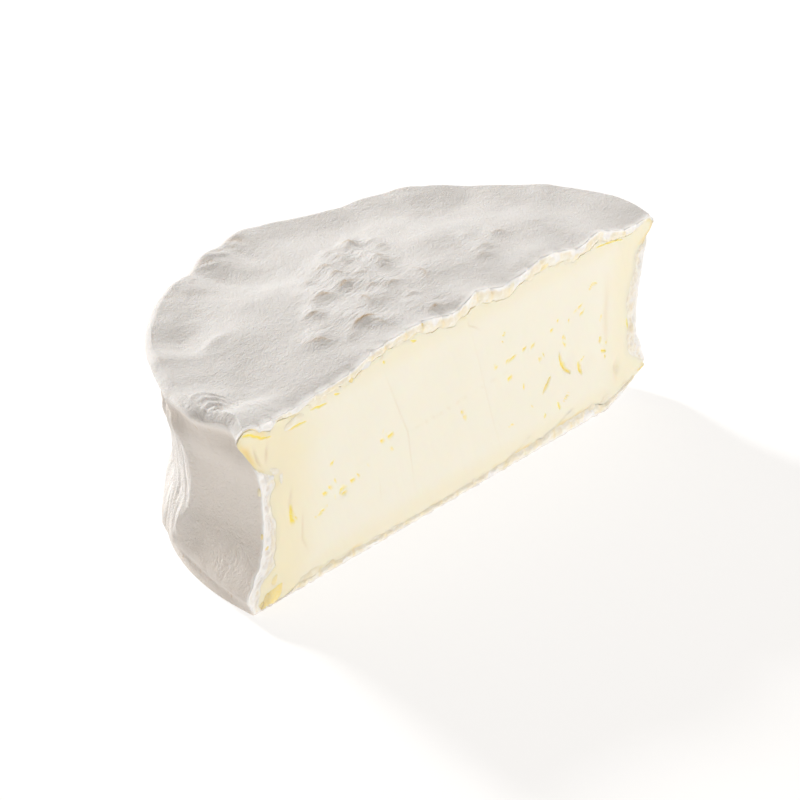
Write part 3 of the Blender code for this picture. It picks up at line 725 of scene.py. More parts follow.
def stroke(a, b, path):
    """Distance of points (a, b) from a path, and how far along it the nearest place is, from 0 to 1."""
    path = np.array(path, float)
    lengths = np.linalg.norm(np.diff(path, axis=0), axis=1)
    starts = np.concatenate([[0], np.cumsum(lengths)])
    best = np.full(np.shape(a), np.inf)
    place = np.zeros(np.shape(a))
    for k, length in enumerate(lengths):
        way = (path[k + 1] - path[k]) / length
        f = np.clip((a - path[k][0]) * way[0] + (b - path[k][1]) * way[1], 0, length)
        distance = np.hypot(a - path[k][0] - f * way[0], b - path[k][1] - f * way[1])
        nearer = distance < best
        best = np.where(nearer, distance, best)
        place = np.where(nearer, (starts[k] + f) / starts[-1], place)
    return best, place


# -------------------- shape of the half wheel

def folds(table, angle):
    """Height at an angle of folds in a table: (middle, half width, height)."""
    return sum(height * bell(angle - middle, width) for middle, width, height in table)


def rim_crest(angle):
    """Radius and height of the rim's crest at an angle."""
    radius = RIM_RADIUS + lookup(RIM_SWELL, angle) - CREST_INSET
    height = RIM_HEIGHT + lookup(RIM_LIFT, angle)
    return radius, height


def slope(distance, half, kind):
    """How high a mound of a half length still is at a distance from its crest, from 1 to 0."""
    share, more, power = kind
    return np.exp(-((np.maximum(distance, 0) / (share * half + more)) ** power))


def mounds(x, y):
    """Height of the crumpled patch's mounds, and 1 along the crests of the high ones."""
    x, y = x + uneven(x, y, 0, MOUND_DRIFT_X), y + uneven(x, y, 0, MOUND_DRIFT_Y)
    total, crest = np.zeros_like(x), np.zeros_like(x)
    for mound_x, mound_y, length, height, turn in MOUNDS:
        turn = math.radians(turn)
        dx, dy = x - mound_x + MOUND_SHIFT[0] * height, y - mound_y + MOUND_SHIFT[1] * height
        half = 0.5 * length + MOUND_EXTRA
        along = dx * math.cos(turn) + dy * math.sin(turn)
        near = dx * math.sin(turn) - dy * math.cos(turn) - MOUND_BEND * along**2 / half
        across = slope(-near, half, MOUND_FAR) * slope(near, half, MOUND_NEAR)
        total = total + height * across * bell(along, MOUND_WIDTH * half)
        edge = bell(near - TAN_LINE[0], TAN_LINE[1]) * bell(along, TAN_LENGTH * half)
        crest = np.maximum(crest, (height - TAN_FROM) * edge)
    return total, np.clip(crest, 0, 1)


def crumple(x, y):
    """How crumpled the rind is at a point of the top, from 0 to 1."""
    total = 0
    for mound_x, mound_y, length, height, turn in MOUNDS:
        total = total + height * spot(x, y, mound_x, mound_y, 0.5 * length + CRUMPLE_REACH)
    return np.clip(total / CRUMPLE_FULL, 0, 1)


def top_height(x, y, share, angle):
    """Height of the top at a share of the way from the wheel's centre to its rim."""
    crest = rim_crest(angle)[1]
    middle = ramp(0, CROWN_START, share)
    height = RIM_HEIGHT * (1 - middle) + crest * middle + CROWN_RISE * lookup(CROWN, share)
    height = height + lookup(CUT_LINE, x) * bell(y, CUT_LINE_REACH)
    height = height + mounds(x, y)[0]
    for swell_x, swell_y, radius, rise in SWELLS:
        height = height + rise * spot(x, y, swell_x, swell_y, radius)
    return height + folds(RIM_FOLDS, angle) * ramp(RIM_FOLD_INNER, RIM_FOLD_OUTER, share)


def side_profile(angle):
    """Points (radius, height) of the side at an angle, from the rim's crest down to the base."""
    crest_radius, crest_height = rim_crest(angle)
    rim = RIM_RADIUS + lookup(RIM_SWELL, angle)
    waist = WAIST_RADIUS + lookup(WAIST_SWELL, angle) + folds(SIDE_FOLDS, angle)
    foot = FOOT_RADIUS + lookup(FOOT_SWELL, angle)
    lift = lookup(FOOT_LIFT, angle)
    base = BASE_RADIUS + lookup(BASE_SWELL, angle)
    lip = crest_height + folds(RIM_FOLDS, angle)
    zero = np.zeros_like(lip)
    return (
        (crest_radius, lip),
        (rim - SHOULDER_INSET, lip - SHOULDER_DROP),
        (rim, lip - LIP_DROP),
        (rim - UNDERCUT_INSET, crest_height - UNDERCUT_DROP),
        (waist + NECK_OUT, crest_height - NECK_DROP),
        (waist, zero + WAIST_TOP),
        (waist - WAIST_LEAN, zero + WAIST_BOTTOM),
        (waist + FLARE_OUT, FLARE_HEIGHT + FLARE_LIFT * lift),
        (foot, FOOT_HEIGHT + EDGE_LIFT * lift),
        (foot - TOE_INSET, TOE_HEIGHT + TOE_LIFT * lift),
        (base + HEEL_OUT, zero + HEEL_HEIGHT),
        (base, zero),
    )


def turned(radius, angle):
    """The x and y at a radius and an angle in degrees."""
    return radius * np.cos(np.radians(angle)), radius * np.sin(np.radians(angle))


def spaced(weights, count, start=None):
    """Places in count steps over a table of (place, weight) pairs, closer where it weighs more."""
    table = np.array(weights, float)
    places = np.linspace(table[0, 0] if start is None else start, table[-1, 0], SPACING_STEPS)
    weight = np.interp(places, table[:, 0], table[:, 1])
    total = np.concatenate([[0], np.cumsum(weight[1:] + weight[:-1])])
    return np.interp(np.linspace(0, total[-1], count + 1), total, places)


def top_points(across, back):
    """Grid of points of the top, of shape (across, back, 3)."""
    u, v = np.meshgrid(across, back, indexing="ij")
    x = u * np.sqrt(1 - v**2 / 2)
    y = v * np.sqrt(1 - u**2 / 2)
    share = np.hypot(x, y)
    angle = np.degrees(np.arctan2(y, x))
    x, y = turned(rim_crest(angle)[0] * share, angle)
    return np.stack([x, y, top_height(x, y, share, angle)], -1)


def side_angles(across, back):
    """Angles of the side's columns, from the left end of the cut to the right."""
    edge = [(-1, v) for v in back[:-1]]
    edge += [(u, 1) for u in across]
    edge += [(1, v) for v in back[-2::-1]]
    u, v = np.array(edge).T
    return np.degrees(np.arctan2(v * np.sqrt(1 - u**2 / 2), u * np.sqrt(1 - v**2 / 2)))


def side_points(angles, shares):
    """Grid of points of the side, of shape (angles, shares, 3)."""
    angle, share = np.meshgrid(angles, shares, indexing="ij")
    profile = side_profile(angle)
    steps = np.linspace(0, 1, len(profile))
    radius = lookup([(k, point[0]) for k, point in zip(steps, profile)], share)
    z = np.maximum(lookup([(k, point[1]) for k, point in zip(steps, profile)], share), 0)
    x, y = turned(radius, angle)
    return np.stack([x, y, z], -1)


def inset(points, depth):
    """Points drawn in towards the middle of the wheel by about depth."""
    x, y, z = np.moveaxis(points, -1, 0)
    radial = 1 - depth / INSET_RADIUS
    level = MIDDLE_HEIGHT + (z - MIDDLE_HEIGHT) * (1 - depth / MIDDLE_HEIGHT)
    return np.stack([x * radial, y * radial, level], -1)


# -------------------- surface of the rind

def top_relief(x, y):
    """Strokes and the near hollow of the top: their rise, and how tan they are."""
    rise, tint = np.zeros_like(x), np.zeros_like(x)
    for path, width, height, tan in RIM_STROKES:
        distance, place = stroke(x, y, path)
        line = np.exp(-((distance / width) ** 2)) * np.sqrt(taper(place, *STROKE_ENDS))
        rise += height * line
        tint = np.maximum(tint, tan * line)
    *hollow, depth = NEAR_HOLLOW
    rise -= depth * spot(x, y, *hollow)
    return rise, np.maximum(tint, mounds(x, y)[1])


def wall_relief(x, y, z):
    """Crest, folds, streaks and specks of the wall: their rise, and how tan they are."""
    angle = np.degrees(np.arctan2(y, x))
    wall = ramp(*WALL, z)
    past = angle - lookup(CREST, z)
    crest = CREST_RISE * np.exp(-np.where(past > 0, past / CREST_WIDTH, -past / CREST_FAR_WIDTH))
    crest *= ramp(*CREST_FOOT, z)
    curtain = ramp(*CURTAIN_START, angle) * ramp(*CURTAIN_END, angle)
    rise = wall * (crest + curtain * grain(angle, z, PLEATS) * faded(z, PLEAT_RISE))
    streaks = grain(angle + STREAK_SLANT * z, z, WIDE_STREAKS) + grain(angle, z, FINE_STREAKS)
    rise += (STREAK_LEAST + faded(z, STREAK_RISE)) * wall * (1 - curtain) * streaks
    tint = 0
    for speck_angle, speck_z, radius in SPECKS:
        away = np.hypot(np.radians(angle - speck_angle) * WAIST_RADIUS, z - speck_z)
        tint = np.maximum(tint, wall * bell(away, radius))
    return rise, tint


def rind_relief(points):
    """Relief of the rind's outer surface: the moved points, how tan they are and how crumpled."""
    x, y, z = np.moveaxis(points, -1, 0)
    high = ramp(*TOP_RISE, z)
    rise, tint = top_relief(x, y)
    rise *= high
    tint *= ramp(*TOP_TINT, z)
    crumpled = crumple(x, y) * high
    # Fine wrinkles run along the cut, mostly among the mounds.
    rise += crumpled * uneven(x / WRINKLE_STRETCH, y, 0, WRINKLES)
    rise += uneven(x, y, z, RIND_BUMPS) + uneven(x, y, z, RIND_GRAIN)
    rise += ramp(*SHOULDER, z) * uneven(x / WAVE_STRETCH, y, 0, TOP_WAVES)
    wall_rise, wall_tint = wall_relief(x, y, z)
    rise += wall_rise
    out = np.hypot(x, y) + TINY
    lean = ramp(*LEAN, z)
    radial = rise * ramp(*FLOOR_FADE, z) * (1 - lean)
    moved = points + np.stack([radial * x / out, radial * y / out, rise * lean], -1)
    return moved, np.maximum(tint, wall_tint), crumpled


def painted_wall_shade(points):
    """Painted shade on the wall's rind: how much warm shade tint it takes and how dark it is, darkest
    below the rim and near the base.
    """
    x, y, z = np.moveaxis(points, -1, 0)
    angle = np.degrees(np.arctan2(y, x))
    warm = ramp(*WARM_SHADE_FADE, z) * (WARM_SHADE_LEAST + faded(angle, WARM_SHADE_MORE))
    dim = ramp(*DARK_SHADE_FADE, z) * np.maximum(faded(z, DARK_SHADE_NECK), faded(z, DARK_SHADE_FOOT))
    return {"warm": warm, "dim": dim}


def highlight_patch(points):
    """Painted highlight: how much lighter the rind is on the flap beside the left end's horn."""
    x, y, z = np.moveaxis(points, -1, 0)
    return spot(x, y, *HIGHLIGHT_PATCH) * faded(z, HIGHLIGHT_RISE)


# -------------------- edge of the cut

def horn(point):
    """1 where the rind is missing at the edge of the cut: at the left end's horn and the right's tips."""
    x, z = point[..., 0], point[..., 2]
    bare = ramp(*HORN_ACROSS, x + HORN_TOP_SHIFT * ramp(*HORN_TOP, z)) * ramp(*HORN_HEIGHTS, z)
    for across, above, below in TIPS:
        bare = np.maximum(bare, ramp(*across, x) * ramp(*above, z) * ramp(*below, z))
    return bare


def scallop(x):
    """Rounded lobes with sharp notches between them, from 0 to 1 along an edge."""
    return np.abs(np.sin(np.pi * (x / SCALLOP + uneven(x, 0, 0, SCALLOP_DRIFT)))) ** SCALLOP_POWER


def wear(point):
    """How far the rind's outer surface is worn back from the foremost plane of the cut."""
    x, z = point[..., 0], point[..., 2]
    lobes = ramp(*SHOULDER, z) * NOTCH_WEAR * (NOTCH_LEVEL - scallop(x))
    worn = np.maximum(EDGE_WEAR + uneven(x, 0, z, EDGE_RAGGED) + lobes, EDGE_LEAST)
    return worn + (HORN_WEAR - worn) * horn(point)


def band(point):
    """Width of the rind's section, as (across, upright) shifts from its outer edge to its inner one."""
    x, z = point[..., 0], point[..., 2]
    ragged = uneven(x, 0, z, BAND_RAGGED)
    left, right = (lookup(table, z) * (1 + SIDE_RAGGED * ragged) for table in (LEFT_BAND, RIGHT_BAND))
    top = lookup(TOP_BAND, x) * (1 + TOP_RAGGED * ragged)
    bottom = lookup(BOTTOM_BAND, x) * (1 + BOTTOM_RAGGED * ragged)
    across = np.where(x < 0, left, right) * -x / BAND_RADIUS
    level = (z - MIDDLE_HEIGHT) / MIDDLE_HEIGHT
    return across, -level * np.where(level > 0, top, bottom)


def tuck(point, across, need):
    """Shift that keeps a thin section inside the rim, which curves inwards behind the cut's left end."""
    return ramp(*TUCK_ACROSS, point[..., 0]) * np.maximum(need - across, 0)


# -------------------- building meshes

class Body:
    """Points, faces and point attributes of a mesh as it is put together."""

    def __init__(self):
        self.points = []
        self.count = 0
        self.faces = []
        self.marks = {}

    def add(self, points, **marks):
        """Add points of any grid shape; returns their numbers in the same shape."""
        points = np.asarray(points, float)
        shape = points.shape[:-1]
        size = int(np.prod(shape))
        numbers = np.arange(self.count, self.count + size).reshape(shape)
        self.points.append(points.reshape(-1, 3))
        for name, value in marks.items():
            self.marks.setdefault(name, []).append((self.count, np.broadcast_to(value, shape).ravel()))
        self.count += size
        return numbers

    def grid(self, numbers):
        """Faces over a grid of points."""
        a, b = numbers[:-1, :-1], numbers[1:, :-1]
        c, d = numbers[1:, 1:], numbers[:-1, 1:]
        self.faces.extend(np.stack([a, b, c, d], -1).reshape(-1, 4).tolist())

    def ring(self, first, second):
        """Faces between two closed rings of as many points."""
        a, b = first, np.roll(first, -1)
        c, d = np.roll(second, -1), second
        self.faces.extend(np.stack([a, b, c, d], -1).tolist())

    def stitch(self, fine, coarse, folds):
        """Faces between a fine closed ring and a coarse one; folds says how many fine steps each takes."""
        start = 0
        for k, number in enumerate(coarse):
            following = coarse[(k + 1) % len(coarse)]
            middle = folds[k] // 2
            for j in range(folds[k]):
                a, b = fine[start + j], fine[(start + j + 1) % len(fine)]
                self.faces.append([a, b, number if j < middle else following])
                if j == middle:
                    self.faces.append([a, following, number])
            start += folds[k]

    def mesh(self, name, shift):
        points = (np.concatenate(self.points) + shift) * MM
        mesh = bpy.data.meshes.new(name)
        mesh.from_pydata(points.tolist(), [], self.faces)
        for mark, pieces in self.marks.items():
            values = np.zeros(self.count, np.float32)
            for start, value in pieces:
                values[start:start + len(value)] = value
            attribute = mesh.attributes.new(mark, "FLOAT", "POINT")
            attribute.data.foreach_set("value", values)
        bm = bmesh.new()
        bm.from_mesh(mesh)
        bmesh.ops.recalc_face_normals(bm, faces=bm.faces)
        bm.to_mesh(mesh)
        bm.free()
        mesh.shade_smooth()
        mesh.set_sharp_from_angle(angle=math.radians(SHARP))
        return mesh


def loop_of(top, right, base, left):
    """One closed loop: along the top, down the right end, back along the base and up the left end."""
    return np.concatenate([top, right[1:], base[1:], left[::-1][1:-1]])


def parts_of(loop, strips, rows):
    """The top, right, base and left of a closed loop, each from the left or from the top."""
    corners = np.cumsum([strips, rows, strips])
    top = loop[:corners[0] + 1]
    right = loop[corners[0]:corners[1] + 1]
    base = loop[corners[1]:corners[2] + 1][::-1]
    left = np.concatenate([loop[corners[2]:], loop[:1]])[::-1]
    return top, right, base, left


def rim_of(numbers):
    """Point numbers round the rim of the top's grid, from the left end of the cut to the right."""
    return np.concatenate([numbers[0, :-1], numbers[:, -1], numbers[-1, -2::-1]])


def loop_points(share, across, rows):
    """Loop of the outer surface, from RING_REACH behind the cut (share 1) to the cut itself (share 0)."""
    back = RING_REACH / RIM_RADIUS * share
    top = top_points(across, np.array([back]))[:, 0]
    angle = math.degrees(math.atan2(back * math.sqrt(0.5), math.sqrt(1 - back**2 / 2)))
    left, right = side_points(np.array([180 - angle, angle]), np.linspace(0, 1, rows + 1))
    left[0], right[0] = top[0], top[-1]
    f = np.linspace(0, 1, len(across))[:, None]
    return loop_of(top, right, right[-1] + (left[-1] - right[-1]) * f, left)


def loop_folds(strips, rows, coarse_strips, coarse_rows):
    """How many steps of a fine loop each step of a coarse one takes."""
    across, down = strips // coarse_strips, rows // coarse_rows
    return ([across] * coarse_strips + [down] * coarse_rows) * 2


def every(loop, strips, rows, coarse_strips, coarse_rows):
    """The points of a fine loop that a coarser one shares."""
    starts = np.cumsum([0] + loop_folds(strips, rows, coarse_strips, coarse_rows)[:-1])
    return loop[starts]


def closed_body(body, across, rows, depth, ring):
    """Inner half wheel, drawn in by depth, whose loop at the cut is the ring of point numbers."""
    strips = len(across) - 1
    back = np.linspace(0, 1, BODY_BACK + 1)
    top = inset(top_points(across, back), depth)
    side = inset(side_points(side_angles(across, back), np.linspace(0, 1, rows + 1)), depth)
    upper, right, lower, left = parts_of(ring, strips, rows)
    top_numbers = np.concatenate([upper[:, None], body.add(top[:, 1:])], 1)
    side_numbers = np.empty(side.shape[:2], int)
    side_numbers[:, 0] = rim_of(top_numbers)
    side_numbers[0], side_numbers[-1] = left, right
    side_numbers[1:-1, 1:] = body.add(side[1:-1, 1:])
    body.grid(top_numbers)
    body.grid(side_numbers)
    body.faces.append(side_numbers[:, -1].tolist() + lower[-2:0:-1].tolist())


def rind_outside(body):
    """Add the outer surface up to the fine rings at the cut. Returns its loop of point numbers there."""
    strips, rows = RIND_STRIPS, RIND_ROWS
    across = spaced(ACROSS_WEIGHT, strips)
    back = spaced(BACK_WEIGHT, RIND_BACK, RING_REACH / RIM_RADIUS)
    top, tint, crumpled = rind_relief(top_points(across, back))
    side, side_tint, _ = rind_relief(side_points(side_angles(across, back), np.linspace(0, 1, rows + 1)))
    # The top carries the painted highlight beside the horn, and the wall's painted shade.
    top_numbers = body.add(top, crease=tint, wrinkled=crumpled, pale=highlight_patch(top), **painted_wall_shade(top))
    side_numbers = body.add(side[:, 1:], crease=side_tint[:, 1:], **painted_wall_shade(side[:, 1:]))
    side_numbers = np.concatenate([rim_of(top_numbers)[:, None], side_numbers], 1)
    f = np.linspace(0, 1, strips + 1)[1:-1, None]
    base = body.add(side[-1, -1] + (side[0, -1] - side[-1, -1]) * f)
    base = np.concatenate([side_numbers[-1:, -1], base, side_numbers[:1, -1]])
    body.grid(top_numbers)
    body.grid(side_numbers)
    body.faces.append(side_numbers[:, -1].tolist() + base[1:-1].tolist())
    return loop_of(top_numbers[:, 0], side_numbers[-1], base, side_numbers[0])


def rind_edge(body, coarse):
    """Add the fine rings that round the outer surface off at the cut. Returns the last one's numbers
    and points."""
    across = spaced(ACROSS_WEIGHT, FINE_STRIPS)
    worn = wear(loop_points(0, across, FINE_ROWS))
    ring = None
    for share in RING_STEPS:
        loop, tint, crumpled = rind_relief(loop_points(share, across, FINE_ROWS))
        x, y, z = loop.T
        reach = share * RING_REACH
        high = ramp(*SHOULDER, z)
        lobes = LOBE_RISE * (scallop(x) - LOBE_LEVEL) * high * (1 - share) ** 2
        curl = EDGE_CURL * high * bell(reach, CURL_REACH) * (CURL_MEAN + uneven(x, 0, 0, CURL_CHANGE))
        loop = inset(loop, ROUNDING * (1 - min(share / ROUNDING_SHARE, 1)))
        loop[:, 1] = y + worn * (1 - ramp(0, 1, share))
        loop[:, 2] += lobes + curl
        # Painted highlight along the rind's edge at the cut, and on the flap beside the horn.
        pale = bell(reach, HIGHLIGHT_REACH) * ramp(*FLOOR_FADE, z) * (1 - horn(loop))
        pale = np.maximum(pale, highlight_patch(loop))
        marks = {"crease": tint, "wrinkled": crumpled, "pale": pale, **painted_wall_shade(loop)}
        numbers = body.add(loop, section=bell(reach, SMOOTH_REACH), **marks)
        if ring is None:
            body.stitch(numbers, coarse, loop_folds(FINE_STRIPS, FINE_ROWS, RIND_STRIPS, RIND_ROWS))
        else:
            body.ring(ring, numbers)
        ring = numbers
    return ring, loop


def torn_section(body, ring, outer):
    """Add the rind's ragged section, inwards from the outer edge. Returns its innermost ring."""
    x_start, y_start, z_start = outer.T
    across_shift, upright_shift = band(outer)
    reach = np.abs(across_shift)
    sides = ramp(*SIDE_SHARE, reach / (reach + np.abs(upright_shift) + TINY))
    sides = sides * ramp(*SIDE_ACROSS, np.abs(x_start))
    free = horn(outer)
    level = (z_start - MIDDLE_HEIGHT) / MIDDLE_HEIGHT
    for row in range(1, STRIP_ROWS + 1):
        f = row / STRIP_ROWS
        arch = math.sin(math.pi * f)
        x = x_start + across_shift * f - HORN_TURN[0] * free * f * np.sign(x_start)
        z = z_start + upright_shift * f - HORN_TURN[1] * free * f * level
        lumps = uneven(x, 0, z, SECTION_LUMPS) + SIDE_LUMP_RISE * drawn_out(x, z, SIDE_LUMPS) * sides
        lobe = (1 - sides) * scallop(x) * arch
        flap = faded(drawn_out(x, z, FLAPS), FLAP_SHARE)
        flap = np.maximum(flap, WHITE_FLAP_SHARE * bell(x - WHITE_FLAP[0], WHITE_FLAP[1]))
        fissure = sides * bell(drawn_out(x, z, FISSURES), FISSURE_WIDTH) * arch
        front = FACE - FRONT_RISE - LUMP_RISE * lumps - LOBE_SWELL * lobe + FISSURE_DEPTH * fissure
        front = front + (y_start - front) * (1 - ramp(0, OUTER_SHARE, f))
        front = front + (FACE + SEAM_DEPTH - front) * ramp(*SEAM_SHARES, f) + faded(f, FRONT_SUNK)
        y = np.maximum(front, LEAST_DEPTH) * (1 - free) + (y_start + SUNK * f) * free
        beige = ramp(0, BEIGE_TOP, f + BEIGE_LUMPS * lumps - flap) * (1 - sides)
        beige = beige + sides * ramp(*BEIGE_SIDES, f + BEIGE_SIDE_LUMPS * lumps - BEIGE_LEFT * (x < 0))
        stain = NOTCH_STAIN * beige * (1 - sides) * (1 - scallop(x)) ** NOTCH_POWER
        stain = np.maximum(stain, free * ramp(0, OUTER_SHARE, f))
        points = np.stack([x, y, z], -1)
        # Painted highlight on the section's outer rows, less on its sides.
        pale = (1 - f) * (1 - SIDE_HIGHLIGHT * sides)
        # The fissures carry painted shade in the crease colour.
        marks = {"cut": beige, "crease": FISSURE_SHADE * fissure, "stain": stain, "pale": pale}
        numbers = body.add(points, section=1, **marks)
        body.ring(ring, numbers)
        ring = numbers
    sizes = (FINE_STRIPS, FINE_ROWS, INNER_STRIPS, INNER_ROWS)
    last = points.copy()
    last[:, 0] += tuck(outer, across_shift, HORN_NEED)
    inner = body.add(every(last, *sizes) + np.array([0, SECTION_BACK, 0]))
    body.stitch(ring, inner, loop_folds(*sizes))
    return inner


def rind_mesh():
    """The rind: outer surface, ragged section at the cut and inner surface, closed all round."""
    body = Body()
    ring, outer = rind_edge(body, rind_outside(body))
    inner = torn_section(body, ring, outer)
    closed_body(body, spaced(ACROSS_WEIGHT, INNER_STRIPS), INNER_ROWS, RIND_THICKNESS, inner)
    return body


def face_relief(x, z):
    """Depth of the paste's cut face behind its plane, how torn it is there and how marked by the knife."""
    depth = uneven(x, 0, z, FACE_SWELL)
    depth += grain(x * FACE_SLANT[0] + z * FACE_SLANT[1], z, FACE_STREAKS)
    depth += uneven(x, 0, z, FACE_GRAIN)
    torn, lines = np.zeros_like(x), np.zeros_like(x)
    wobble_x = x + uneven(x, 0, z, SLIT_DRIFT_X)
    wobble_z = z + uneven(x, 0, z, SLIT_DRIFT_Z)
    for path, width, deep in SLITS:
        distance, place = stroke(wobble_x, wobble_z, path)
        thin = width * (0.5 + 0.5 * np.sin(np.pi * place))
        line = np.exp(-((distance / thin) ** SLIT_POWER))
        lip = bell(distance - LIP_PLACE * thin, LIP_WIDTH * thin)
        depth += deep * (SLIT_DEPTH * line - LIP_RISE * lip)
        torn = np.maximum(torn, line)
    for dent_x, dent_z, wide, tall, deep in DENTS:
        depth += deep * bell(np.hypot((x - dent_x) / wide, (z - dent_z) / tall), 1)
    for path, width, deep in KNIFE_LINES:
        distance, place = stroke(x, z, path)
        line = deep * bell(distance, width) * taper(place, *KNIFE_ENDS)
        depth += line
        lines = np.maximum(lines, line)
    return depth, torn, lines


def browned(x, z):
    """How brown the paste is along the bare edges of the horn and of the right end's tip."""
    brown = 0
    for path, width, strength, ends in BROWN_EDGES:
        distance, place = stroke(x, z, path)
        brown = np.maximum(brown, strength * bell(distance, width) * taper(place, *ends))
    return brown


def creamed(x, z):
    """How creamy the paste is: most towards the left end, less towards the rind elsewhere."""
    left = faded(x + uneven(x, 0, z, CREAM_LEFT_DRIFT), CREAM_LEFT)
    right = faded(x + uneven(x, 0, z, CREAM_RIGHT_DRIFT), CREAM_RIGHT)
    return np.maximum.reduce([left, right, faded(z, CREAM_BASE), faded(z, CREAM_TOP)])


def blended(upper, lower, left, right):
    """Grid of points blended between the four sides of its boundary."""
    f = np.linspace(0, 1, len(upper))[:, None, None]
    g = np.linspace(0, 1, len(left))[None, :, None]
    grid = (1 - f) * left[None] + f * right[None] + (1 - g) * upper[:, None] + g * lower[:, None]
    grid -= (1 - f) * (1 - g) * upper[0] + f * (1 - g) * upper[-1]
    return grid - ((1 - f) * g * lower[0] + f * g * lower[-1])


def paste_face(body, boundary):
    """Add the cut face inside its boundary loop. Returns the grid of point numbers."""
    upper, right, lower, left = parts_of(boundary, PASTE_STRIPS, PASTE_ROWS)
    face = blended(upper, lower, left, right)
    x, z = face[..., 0], face[..., 2]
    edge = np.minimum.reduce([
        (x - left[None, :, 0]) / EDGE_SIDE + HORN_EDGE_SHIFT * ramp(*HORN_HEIGHTS, z),
        (right[None, :, 0] - x) / EDGE_SIDE,
        (upper[:, None, 2] - z) / EDGE_LEVEL,
        (z - lower[:, None, 2]) / EDGE_LEVEL,
    ])
    depth, torn, lines = face_relief(x, z)
    open_edge = ramp(*OPEN_RANGE, drawn_out(x, z, OPEN_EDGE))
    inside = ramp(0, 1, edge)
    gap = GAP_DEPTH * open_edge * (1 - inside)
    face[..., 1] = np.maximum(FACE + depth * inside + gap, LEAST_DEPTH)
    seam = open_edge * (1 - ramp(*SEAM_WIDTH, edge))
    marks = {"torn": torn, "cream": creamed(x, z), "edge": seam, "lines": lines, "brown": browned(x, z)}
    numbers = body.add(face, **marks)
    body.grid(numbers)
    return numbers


def paste_mesh():
    """The paste: finely modelled cut face, and a plain body behind it inside the rind."""
    strips, rows = PASTE_STRIPS, PASTE_ROWS
    body = Body()
    across = np.linspace(-1, 1, strips + 1)
    outer = loop_points(0, across, rows)
    across_shift, upright_shift = band(outer)
    free = horn(outer)

    def loop_at(y, need):
        """Loop inside the rind's section, drawn in at least by need at the left."""
        inwards = across_shift * PASTE_SHARE
        x = outer[:, 0] + inwards + tuck(outer, inwards, need)
        z = outer[:, 2] + upright_shift * PASTE_SHARE * (1 - HORN_SHARE * free)
        return np.stack([x, np.full_like(x, y), z], -1)

    numbers = paste_face(body, loop_at(0, 0))
    ring = loop_of(numbers[:, 0], numbers[-1], numbers[::-1, -1], numbers[0])
    level = (outer[:, 2] - MIDDLE_HEIGHT) / MIDDLE_HEIGHT
    for y, need in PASTE_LOOPS:
        loop = loop_at(FACE + y + PASTE_FLANK, need)
        loop[:, 2] -= FLANK_SLOPE * y * level
        following = body.add(loop, cream=1, brown=browned(outer[:, 0], outer[:, 2]))
        body.ring(ring, following)
        ring = following
    sizes = (strips, rows, strips // PASTE_FOLD, rows // PASTE_FOLD)
    # This moves the last ring too, because the body keeps the loop itself.
    loop[:, 0] += tuck(outer, 0, LAST_NEED)
    inner = body.add(every(loop, *sizes) + np.array([0, PASTE_BACK, 0]))
    body.stitch(ring, inner, loop_folds(*sizes))
    closed_body(body, across[::PASTE_FOLD], rows // PASTE_FOLD, PASTE_INSET, inner)
    return body


def lump_mesh():
    """Lumps and flakes of torn rind that lie along the edge of the cut."""
    ball = bmesh.new()
    bmesh.ops.create_icosphere(ball, subdivisions=LUMP_DIVISIONS, radius=1)
    unit = np.array([vertex.co[:] for vertex in ball.verts])
    faces = np.array([[vertex.index for vertex in face.verts] for face in ball.faces])
    ball.free()
    body = Body()
    for seed, (x, z, length, thickness, turn, tint, yellow, brown) in enumerate(LUMPS):
        turn = math.radians(turn)
        swell = 1 + uneven(*(unit + seed * LUMP_STEP).T, LUMP_SWELL)
        a, c, b = (unit * swell[:, None]).T
        b = b + LUMP_BEND * np.sin(a * LUMP_WAVES + seed)
        a, b, c = a * length, b * thickness, (c + LUMP_SINK) * (LUMP_DEPTH + LUMP_BULGE * thickness)
        points = np.stack([
            x + a * math.cos(turn) - b * math.sin(turn),
            np.maximum(FACE + LUMP_BACK + c, LEAST_DEPTH),
            np.maximum(z + a * math.sin(turn) + b * math.cos(turn), LEAST_DEPTH),
        ], -1)
        numbers = body.add(points, cut=tint, stain=yellow, crease=brown, section=1)
        body.faces.extend((numbers[0] + faces).tolist())
    return body


# -------------------- materials

def fill(node, inputs):
    """Set inputs of a node, each to a number, a colour or another node's output."""
    for name, value in inputs.items():
        socket = node.inputs[name]
        if isinstance(value, bpy.types.NodeSocket):
            node.id_data.links.new(value, socket)
        elif socket.type == "RGBA":
            socket.default_value = (*value, 1)
        else:
            socket.default_value = value


